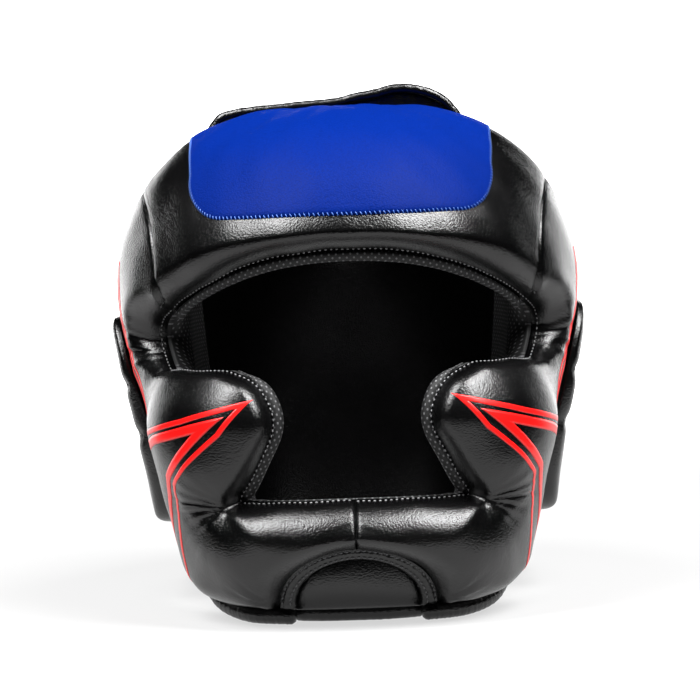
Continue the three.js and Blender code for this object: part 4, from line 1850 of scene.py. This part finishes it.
@dataclass
class Chin:
    """The bound arch under the chin bar, the panel that closes it and its hem, in degrees and millimetres."""

    gap: float = -1.4
    strip: float = 7.2
    strip_thickness: float = 4.5
    strip_columns: int = 121
    strip_rows: int = 13
    seam_shares: Span = (0.32, 0.74)
    seam_depth: float = 0.5
    seam_width: float = 0.07
    unsewn_columns: int = 3
    lift: float = 1.5
    panel_bottom: float = 1.8
    panel_least: float = 3.0
    panel_inset: float = 3.4
    panel_from: float = 3.2
    panel_thickness: float = 9.3
    panel_crown: float = 4.5
    panel_fold: float = 0.35
    panel_grid: tuple[int, int] = (31, 61)
    narrower: float = 1.2
    hem_end: float = 21.5
    hem_girth: float = 3.6
    hem_offset: float = 5.0
    hem_height: float = 3.9
    hem_points: int = 40
    hem_roll: GatheredRoll = GatheredRoll(radius=4.2, depth=0.12, wave=4.0, around=24)

    def place(self, angle: Array, inset: float) -> Places:
        """Places a distance inside the arch.

        Args:
            angle: where along the arch.
            inset: millimetres inside it.

        Returns:
            The places.
        """
        step = 0.4
        across, up = ARCH.flat(angle)
        ahead = np.stack(ARCH.flat(np.minimum(angle + step, ARCH.foot)), axis=-1)
        behind = np.stack(ARCH.flat(np.maximum(angle - step, -ARCH.foot)), axis=-1)
        along = unit(ahead - behind)
        share = np.clip((across + along[..., 1] * inset) / ARCH.half_width, -1, 1)
        sine = np.sign(share) * np.abs(share) ** (1 / ARCH.spread) * math.sin(math.radians(ARCH.foot))
        return Places(np.degrees(np.arcsin(sine)), up - along[..., 0] * inset)

    def strip_line(self, share: float) -> Places:
        """Places along the strip, closer together at its feet, at a share of its width."""
        angles = ARCH.foot * np.sin(np.linspace(-1, 1, self.strip_columns) * np.pi / 2)
        return self.place(angles, self.gap + share * self.strip)

    def build_strip(self) -> None:
        """Builds the padded strip that binds the arch and sews its two rows of stitches."""
        shares = np.linspace(0, 1, self.strip_rows)
        places = joined([self.strip_line(share) for share in shares])
        middle = FORM.padding(places) * ROLL.share + self.lift
        along = np.tile(np.arange(self.strip_columns), self.strip_rows)
        share = np.repeat(shares, self.strip_columns)
        arched = np.sqrt(np.maximum(1 - (2 * share - 1) ** 4, 0))
        ditch = sum(bump(share, seam, self.seam_width) for seam in self.seam_shares)
        pucker = 0.12 * np.sin(along * 1.3) + 0.1 * np.sin(along * 0.77 + 2 * share)
        outer = middle + self.strip_thickness * (arched - 0.5) - self.seam_depth * ditch + pucker * arched
        cells = grid_cells(self.strip_rows, self.strip_columns)
        layers = Layers.off_form(places, outer, middle - self.strip_thickness / 2, cells)
        strip = shell_object("chin_arch_strip", layers)
        dress(strip, BLACK_LEATHER, "chin_arch_binding", fill=0.8)
        surface, sewn = Surface(strip), slice(self.unsewn_columns, -self.unsewn_columns)
        for name, seam in zip(("outer", "inner"), self.seam_shares):
            DARK_STITCH.sew(f"chin_arch_stitches_{name}", *surface.lay(self.strip_line(seam).only(sewn)))

    def build_panel(self) -> None:
        """Builds the soft panel inside the arch."""
        rows, columns = self.panel_grid
        across, up = grid_of(np.linspace(-1, 1, columns), np.linspace(0, 1, rows))
        edge = self.place(across * (ARCH.foot - self.narrower), self.panel_inset)
        top = np.maximum(edge.girth, self.panel_bottom + self.panel_least)
        places = Places(edge.angle, self.panel_bottom + up * (top - self.panel_bottom))
        dome = np.maximum(np.cos(across * np.pi / 2) * np.sin(np.pi * up), 0)
        fold = self.panel_fold * np.sin(3.2 * (across + up) + 0.4) * dome
        skin = self.panel_from + self.panel_thickness + self.panel_crown * np.sqrt(dome) + fold
        layers = Layers.off_form(places, skin, self.panel_from, grid_cells(rows, columns))
        dress(shell_object("chin_panel_leather", layers), BLACK_LEATHER, "chin_panel", fill=0.7)

    def build_hem(self) -> None:
        """Builds the roll under the panel."""
        angles = np.linspace(-self.hem_end, self.hem_end, self.hem_points)
        path = FORM.points(Places(angles, np.full(self.hem_points, self.hem_girth)), self.hem_offset)
        path[:, 2] = self.hem_height * MM
        dress(self.hem_roll.build("chin_hem_roll", path), BLACK_LEATHER, "chin_hem", fill=0.8)


# Rolls, ears, nape and straps


@dataclass
class Rolls:
    """The gathered rolls at the crown edge and along the jaw, in degrees and millimetres."""

    crown_roll: GatheredRoll = GatheredRoll(radius=2.6, depth=0.1, wave=5.6, around=22)
    crown_behind: float = 3.4
    crown_ends: Span = (-48.0, 41.0)
    crown_rise: Curve = Curve(
        ((-48, 4.8), (-45, 9.6), (-41, 13.5), (-37, 12.3), (-29, 8.6), (-20, 5.4), (-12, 4.5))
        + ((-4, 4.2), (0, 4.3), (8, 6.6), (16, 11.8), (25, 14.3), (33, 14.2), (37, 11), (41, 5))
    )
    facing_columns: int = 140
    facing_rows: int = 12
    facing_half: float = 0.9
    facing_sunk: float = 2.0
    facing_ripple: float = 0.3
    jaw_roll: GatheredRoll = GatheredRoll(radius=4.2, depth=0.22, wave=2.1, around=22)
    jaw_share: float = 0.5
    jaw_ends: Span = (17.5, 109.0)
    jaw_points: int = 60
    jaw_gap: float = 0.1
    floor_press: float = 0.3

    def build_crown(self, crown_edge: float) -> None:
        """Builds the roll over the crown edge with the gathered facing that carries it.

        Args:
            crown_edge: where the forehead pad ends, in degrees over the head.
        """
        columns, rows = self.facing_columns, self.facing_rows
        lateral, steepest = np.linspace(*self.crown_ends, columns), 0.45
        narrowing = np.maximum(steepest, np.cos(np.radians(lateral)))
        behind = math.degrees(self.crown_behind / FORM.dome_arc) / narrowing
        edge = FORM.crown_places(lateral, np.full(columns, crown_edge))
        seat = FORM.crown_places(lateral, crown_edge + behind)
        skin = FORM.padding(edge) * ROLL.share + ROLL.edge_thickness
        path = FORM.points(seat, skin)
        path[:, 2] += self.crown_rise.at(lateral) * MM
        roll = self.crown_roll.build("crown_roll", path)
        foot = FORM.points(seat, skin - self.facing_sunk)
        number = np.arange(columns)
        ripple = self.facing_ripple * np.sin(number * 0.55 + 2.4 * np.sin(number * 0.17))
        share = np.linspace(0, 1, rows)[:, None]
        middle = (foot + share[..., None] * (path - foot)).reshape(-1, 3)
        wave = (ripple * np.sin(np.pi * share)).ravel()
        halves = (-self.facing_half, self.facing_half)
        front, back = (middle + (wave + half)[:, None] * np.array((0, MM, 0)) for half in halves)
        layers = Layers(joined([seat] * rows), front, back, grid_cells(rows, columns))
        join_pieces(roll, shell_object("crown_facing", layers))
        dress(roll, BLACK_LEATHER, "crown_piping", fill=0.8)

    def build_jaw(self, jaw: Curve, side: Side) -> None:
        """Builds the roll along one side of the jaw.

        Args:
            jaw: the girth of the pad's lower edge by angle.
            side: left or right.
        """
        angles = np.linspace(*self.jaw_ends, self.jaw_points)
        edge = Places(angles, jaw.at(angles))
        path = side.mirror(FORM.points(edge, FORM.padding(edge) * self.jaw_share))
        low = (self.jaw_roll.radius - self.floor_press) * MM
        path[:, 2] = np.maximum(low, path[:, 2] - (self.jaw_roll.radius + self.jaw_gap) * MM)
        roll = self.jaw_roll.build(f"jaw_roll_{side.word}", path)
        dress(roll, BLACK_LEATHER, f"jaw_binding_{side.word}", fill=0.8)


@dataclass
class Ears:
    """The padded flaps over the ears, in degrees and millimetres."""

    angle: float = 104.0
    half_angle: float = 21.0
    bottom: float = 35.0
    top: float = 141.0
    edge: float = 2.0
    gap: float = 1.15
    roll: float = 6.5
    narrowing: float = 0.45
    corner_share: float = 0.5
    proud: Curve = Curve(((0, 14), (0.5, 8), (1, 4)))
    grooves: Span = (84.5, 108.5)
    groove_depth: float = 2.2
    groove_spread: float = 2.5
    pucker: float = 0.2
    pucker_spread: float = 4.0
    cord: GatheredRoll = GatheredRoll(radius=0.6, depth=0.05, wave=1.6, around=10, end=0.8)
    cord_reach: float = 0.94
    cord_points: int = 50
    cord_sunk: float = 0.15
    columns: int = 29
    rows: int = 49

    def place(self, step: Array, girth: Array) -> Places:
        """Places of the flap.

        Args:
            step: share across it, from -1 to 1.
            girth: millimetres up the form.

        Returns:
            The places.
        """
        half = (self.top - self.bottom) / 2
        from_end = half - np.abs(girth - (self.bottom + self.top) / 2)
        rounding = 1 - self.narrowing * (1 - quarter_round(from_end, half * self.corner_share))
        return Places(self.angle + step * self.half_angle * rounding, girth)

    def near_grooves(self, girth: Array, spread: float) -> Array:
        """Soft hills at the grooves' girths."""
        return sum(bump(girth, middle, spread) for middle in self.grooves)

    def build(self, side: Side) -> None:
        """Builds one flap with the cords in its grooves.

        Args:
            side: left or right.
        """
        levels = 0.5 - 0.5 * np.cos(np.linspace(0, np.pi, self.rows))
        steps = np.sin(np.linspace(-np.pi / 2, np.pi / 2, self.columns))
        step, level = grid_of(steps, levels)
        girth = self.bottom + level * (self.top - self.bottom)
        places = self.place(step, girth)
        from_side = (1 - np.abs(step)) * self.half_angle * FORM.arc_per_degree
        from_end = np.minimum(girth - self.bottom, self.top - girth)
        rise = quarter_round(np.minimum(from_side, from_end), self.roll)
        base = FORM.padding(places) + self.gap
        sunk = self.groove_depth * self.near_grooves(girth, self.groove_spread)
        skin = base + self.edge + rise * (self.proud.at(level) - self.edge - sunk)

        def relief(spots: Places) -> Array:
            """Puckers beside the grooves and slow unevenness."""
            pucker = self.pucker * self.near_grooves(spots.girth, self.pucker_spread)
            return pucker * np.sin(spots.angle * 2.6 + side.value) + unevenness(spots, 1.1 * side.value)

        layers = Layers.off_form(places, skin, base, grid_cells(self.rows, self.columns), side)
        pad = PADDING.pad_object(f"ear_leather_{side.word}", layers, [], relief)
        surface = Surface(pad)
        join_pieces(pad, *(self.cord_object(surface, girth, side) for girth in self.grooves))
        dress(pad, BLACK_LEATHER, f"ear_pad_{side.word}", fill=0.8)

    def cord_object(self, surface: Surface, girth: float, side: Side) -> Piece:
        """A thin cord along one groove.

        Args:
            surface: the flap.
            girth: the groove's girth.
            side: left or right.

        Returns:
            The cord.
        """
        steps = np.linspace(-self.cord_reach, self.cord_reach, self.cord_points)
        points, normals = surface.lay(self.place(steps, np.full(self.cord_points, girth)), side)
        return self.cord.build("ear_cord", points - normals * self.cord_sunk * MM)


@dataclass
class Nape:
    """The pad round the back of the head and the closing strap, in degrees and millimetres."""

    top_middle: float = 206.0
    top_ear: float = 186.0
    rows: Shares = (0, 0.02, 0.14, 0.3, 0.46, 0.62, 0.77, 0.87, 0.95, 1)
    top_roll: Curve = even(16)
    floor_fade: Span = (2, 14)
    fineness: int = 4
    columns: int = 57
    strap_reach: float = 54.2
    strap_girths: Span = (66.0, 116.0)
    strap_thickness: float = 3.0
    strap_gap: float = 0.8
    strap_under: float = 0.4
    strap_edge: float = 0.35
    strap_roll: float = 2.5
    strap_grid: tuple[int, int] = (25, 81)

    def row(self, share: float) -> Places:
        """One row of places round the nape.

        Args:
            share: 0 at the floor and 1 at the upper edge.

        Returns:
            The places from the left ear round to the right one.
        """
        start = REAR_SEAM + SEWN_GAP
        angle = np.linspace(start, 360 - start, self.columns)
        out = ((angle - 180) / (180 - REAR_SEAM)) ** 2
        return Places(angle, share * (self.top_middle + out * (self.top_ear - self.top_middle)))

    def build(self) -> Piece:
        """Builds the pad, whose lower edge is flat on the floor.

        Returns:
            The pad.
        """
        rows = [self.row(share) for share in refined(self.rows, self.fineness)]
        places = joined(rows)
        seams = [row_ends(rows, end) for end in (0, -1)]
        skin, inside = ROLL.offsets(places, [FreeEdge(rows[-1], self.top_roll, quarter_round)], seams)
        bare = inside - ROLL.lining - ROLL.lining_gap
        layers = Layers.off_form(places, skin, bare, grid_cells(len(rows), self.columns))
        for layer in (layers.outer, layers.inner):
            layer[: self.columns, 2] = 0

        def relief(spots: Places) -> Array:
            """Seam grooves and slow unevenness, fading out at the floor."""
            fade = smoothstep(spots.girth, *self.floor_fade)
            return (seam_groove(spots, seams, 0.9) + unevenness(spots, 2.0)) * fade

        pad = PADDING.pad_object("nape_leather", layers, seams, relief)
        set_vertex_points(pad, np.maximum(vertex_points(pad), np.array((-np.inf, -np.inf, 0))))
        dress(pad, BLACK_LEATHER, "nape_pad", fill=0.9)
        return pad

    def build_strap(self, surface: Surface) -> None:
        """Builds the closing strap across the nape.

        Args:
            surface: the nape pad.
        """
        rows, columns = self.strap_grid
        bottom, top = self.strap_girths
        angles = np.linspace(180 - self.strap_reach, 180 + self.strap_reach, columns)
        places = Places(*grid_of(angles, np.linspace(bottom, top, rows)))
        from_edge = np.minimum(places.girth - bottom, top - places.girth) + STRAP_LIP
        rise = self.strap_edge + (1 - self.strap_edge) * quarter_round(from_edge, self.strap_roll)
        heights = (self.strap_gap + rise * self.strap_thickness, self.strap_under)
        layers = Layers.on_surface(surface, places, heights, grid_cells(rows, columns))
        strap = shell_object("nape_strap_webbing", layers)
        dress(strap, WEBBING, "nape_strap")


@dataclass
class CrownStrap:
    """The strap from the nape pad over the crown, in degrees and millimetres."""

    half_width: float = 27.0
    ends: Span = (62.0, 160.0)
    thickness: float = 3.0
    under: float = 0.8
    edge_share: float = 0.4
    roll: float = 2.5
    flat_scale: float = 1.5
    grid: tuple[int, int] = (91, 31)

    def build(self) -> None:
        """Builds the strap."""
        rows, columns = self.grid
        across = np.linspace(-1, 1, columns) * self.half_width
        lateral, over = grid_of(across, np.linspace(*self.ends, rows))
        from_edge = (self.half_width - np.abs(lateral)) * FORM.arc_per_degree + STRAP_LIP
        sunk = (1 - quarter_round(from_edge, self.roll)) * self.thickness * self.edge_share
        places = FORM.crown_places(lateral, over)
        cells = grid_cells(rows, columns)
        layers = Layers.off_form(places, -self.under - sunk, -self.under - self.thickness, cells)
        strap = shell_object("crown_strap_webbing", layers)
        set_flat_map(strap, np.tile(np.stack((lateral, over), axis=-1) * self.flat_scale, (2, 1)))
        dress(strap, WEBBING, "crown_strap")


# Studio


@dataclass
class Studio:
    """White sweep, softboxes and camera, in metres and degrees."""

    distance: float = 1.38
    elevation: float = 3.5
    roll: float = 2.0
    lens: float = 142.2
    sensor: float = 36.0
    clip_start: float = 0.05
    target: Triple = (0.0, -0.02, 0.1246)
    box_azimuth: float = 56.0
    box_distance: float = 0.72
    box_height: float = 1.2
    box_size: Span = (0.5, 0.9)
    box_powers: Span = (34.0, 42.0)
    box_aim: Triple = (0, 0, 0.12)
    backdrop: float = 0.95
    floor_shade: float = 0.16
    floor_glow: float = 0.64
    wall_glow: float = 3.3
    glow_depths: Span = (0.45, 1.5)
    floor_reach: float = 0.42
    bend_reach: float = 1.3
    wall_reach: float = 1.9
    wall_height: float = 0.75
    wall_half: float = 56.0
    wall_fade: float = 5.0
    directions: int = 145
    rings: int = 41

    def build(self) -> None:
        """Builds everything round the guard."""
        self.sweep()
        self.lights()
        self.camera()

    def sweep(self) -> None:
        """A white floor that ends close before the guard and rises behind it into a curved wall, both
        glowing.
        """
        turns = np.radians(np.linspace(-180, 180, self.directions))
        fade = (math.radians(self.wall_half), math.radians(self.wall_half + self.wall_fade))
        walled = 1 - smoothstep(np.abs(turns), *fade)
        reach = self.floor_reach + (self.wall_reach - self.floor_reach) * walled
        radius = np.linspace(0, 1, self.rings)[:, None] * reach
        rise = np.maximum(radius - self.bend_reach, 0) / (self.wall_reach - self.bend_reach)
        height = self.wall_height * rise**2
        points = np.stack((radius * np.sin(turns), radius * np.cos(turns), height), axis=-1)
        floor = mesh_object("studio_sweep", points.reshape(-1, 3), grid_cells(self.rings, self.directions))
        material, nodes, shader = new_material("glowing white sweep")
        # Painted light: the sweep glows as a lamp would. It is dim on the floor before the guard, which greys
        # the floor there, and bright on the wall, whose glow lights the guard's edges.
        place = nodes.add("SeparateXYZ", Vector=nodes.place())
        glow = nodes.add(
            "MapRange",
            interpolation_type="SMOOTHSTEP",
            Value=place.outputs["Y"],
            From_Min=self.glow_depths[0],
            From_Max=self.glow_depths[1],
            To_Min=self.floor_glow,
            To_Max=self.wall_glow,
        )
        nodes.fill(
            shader,
            Base_Color=(self.floor_shade, self.floor_shade, self.floor_shade, 1),
            Roughness=1.0,
            Specular_IOR_Level=0.0,
            Emission_Color=(1, 1, 1, 1),
            Emission_Strength=glow.outputs["Result"],
        )
        floor.data.materials.append(material)

    def lights(self) -> None:
        """Two tall softboxes before the guard in a dark room."""
        scene = bpy.context.scene
        world = bpy.data.worlds.new("studio")
        scene.world = world
        world.use_nodes = True
        nodes = Nodes(world.node_tree)
        seen = nodes.add("LightPath").outputs["Is Camera Ray"]
        backdrop = nodes.mix(seen, (0, 0, 0), (self.backdrop,) * 3)
        nodes.fill(world.node_tree.nodes["Background"], Color=backdrop)
        turn = math.radians(self.box_azimuth)
        out, ahead = self.box_distance * math.sin(turn), -self.box_distance * math.cos(turn)
        for name, aside, power in zip(("left_box", "right_box"), (-out, out), self.box_powers):
            light = bpy.data.lights.new(name, "AREA")
            light.shape = "RECTANGLE"
            light.size, light.size_y = self.box_size
            light.energy = power
            box = bpy.data.objects.new(name, light)
            box.location = (aside, ahead, self.box_height)
            box.rotation_euler = (Vector(self.box_aim) - box.location).to_track_quat("-Z", "Y").to_euler()
            scene.collection.objects.link(box)
        scene.view_settings.view_transform = "Standard"

    def camera(self) -> None:
        """The camera at the photograph's place, with its slight roll."""
        lens = bpy.data.cameras.new("camera")
        lens.lens = self.lens
        lens.sensor_width = self.sensor
        lens.clip_start = self.clip_start
        camera = bpy.data.objects.new("camera", lens)
        up, target = math.radians(self.elevation), Vector(self.target)
        camera.location = target + self.distance * Vector((0, -math.cos(up), math.sin(up)))
        aim = (target - camera.location).to_track_quat("-Z", "Y").to_matrix()
        camera.rotation_euler = (aim @ Matrix.Rotation(math.radians(-self.roll), 3, "Z")).to_euler()
        bpy.context.scene.collection.objects.link(camera)
        bpy.context.scene.camera = camera


def main() -> None:
    """Builds the guard's pieces in order, then the studio."""
    logging.basicConfig(level=logging.INFO, format="%(name)s: %(message)s")
    deselect_all()
    forehead, panel, cheeks, chin = Forehead(), BrowPanel(), Cheeks(), Chin()
    rolls, ears, nape, stripes = Rolls(), Ears(), Nape(), Stripes()
    brow = forehead.build(panel.outline())
    brow_surface = Surface(brow)
    forehead.build_lining()
    blue = panel.build(brow_surface)
    rolls.build_crown(forehead.crown_edge)
    panel.sew(blue)
    sew_edge("brow_edge_stitches", brow_surface, forehead.row(0.0).only(slice(None, None, -1)), Side.LEFT)
    lines = cheeks.lines()
    for side in Side:
        pad = cheeks.build(side)
        surface = Surface(pad)
        cheeks.build_lining(side)
        rolls.build_jaw(cheeks.jaw, side)
        ears.build(side)
        stripes.build(surface, side)
        sew_seam(f"forehead_seam_stitches_{side.word}", Surface(pad, brow), lines["forehead"], side)
        sew_edge(f"mouth_edge_stitches_{side.word}", surface, lines["opening"], side)
    chin.build_strip()
    chin.build_panel()
    chin.build_hem()
    nape.build_strap(Surface(nape.build()))
    CrownStrap().build()
    Studio().build()


if __name__ == "__main__":
    main()
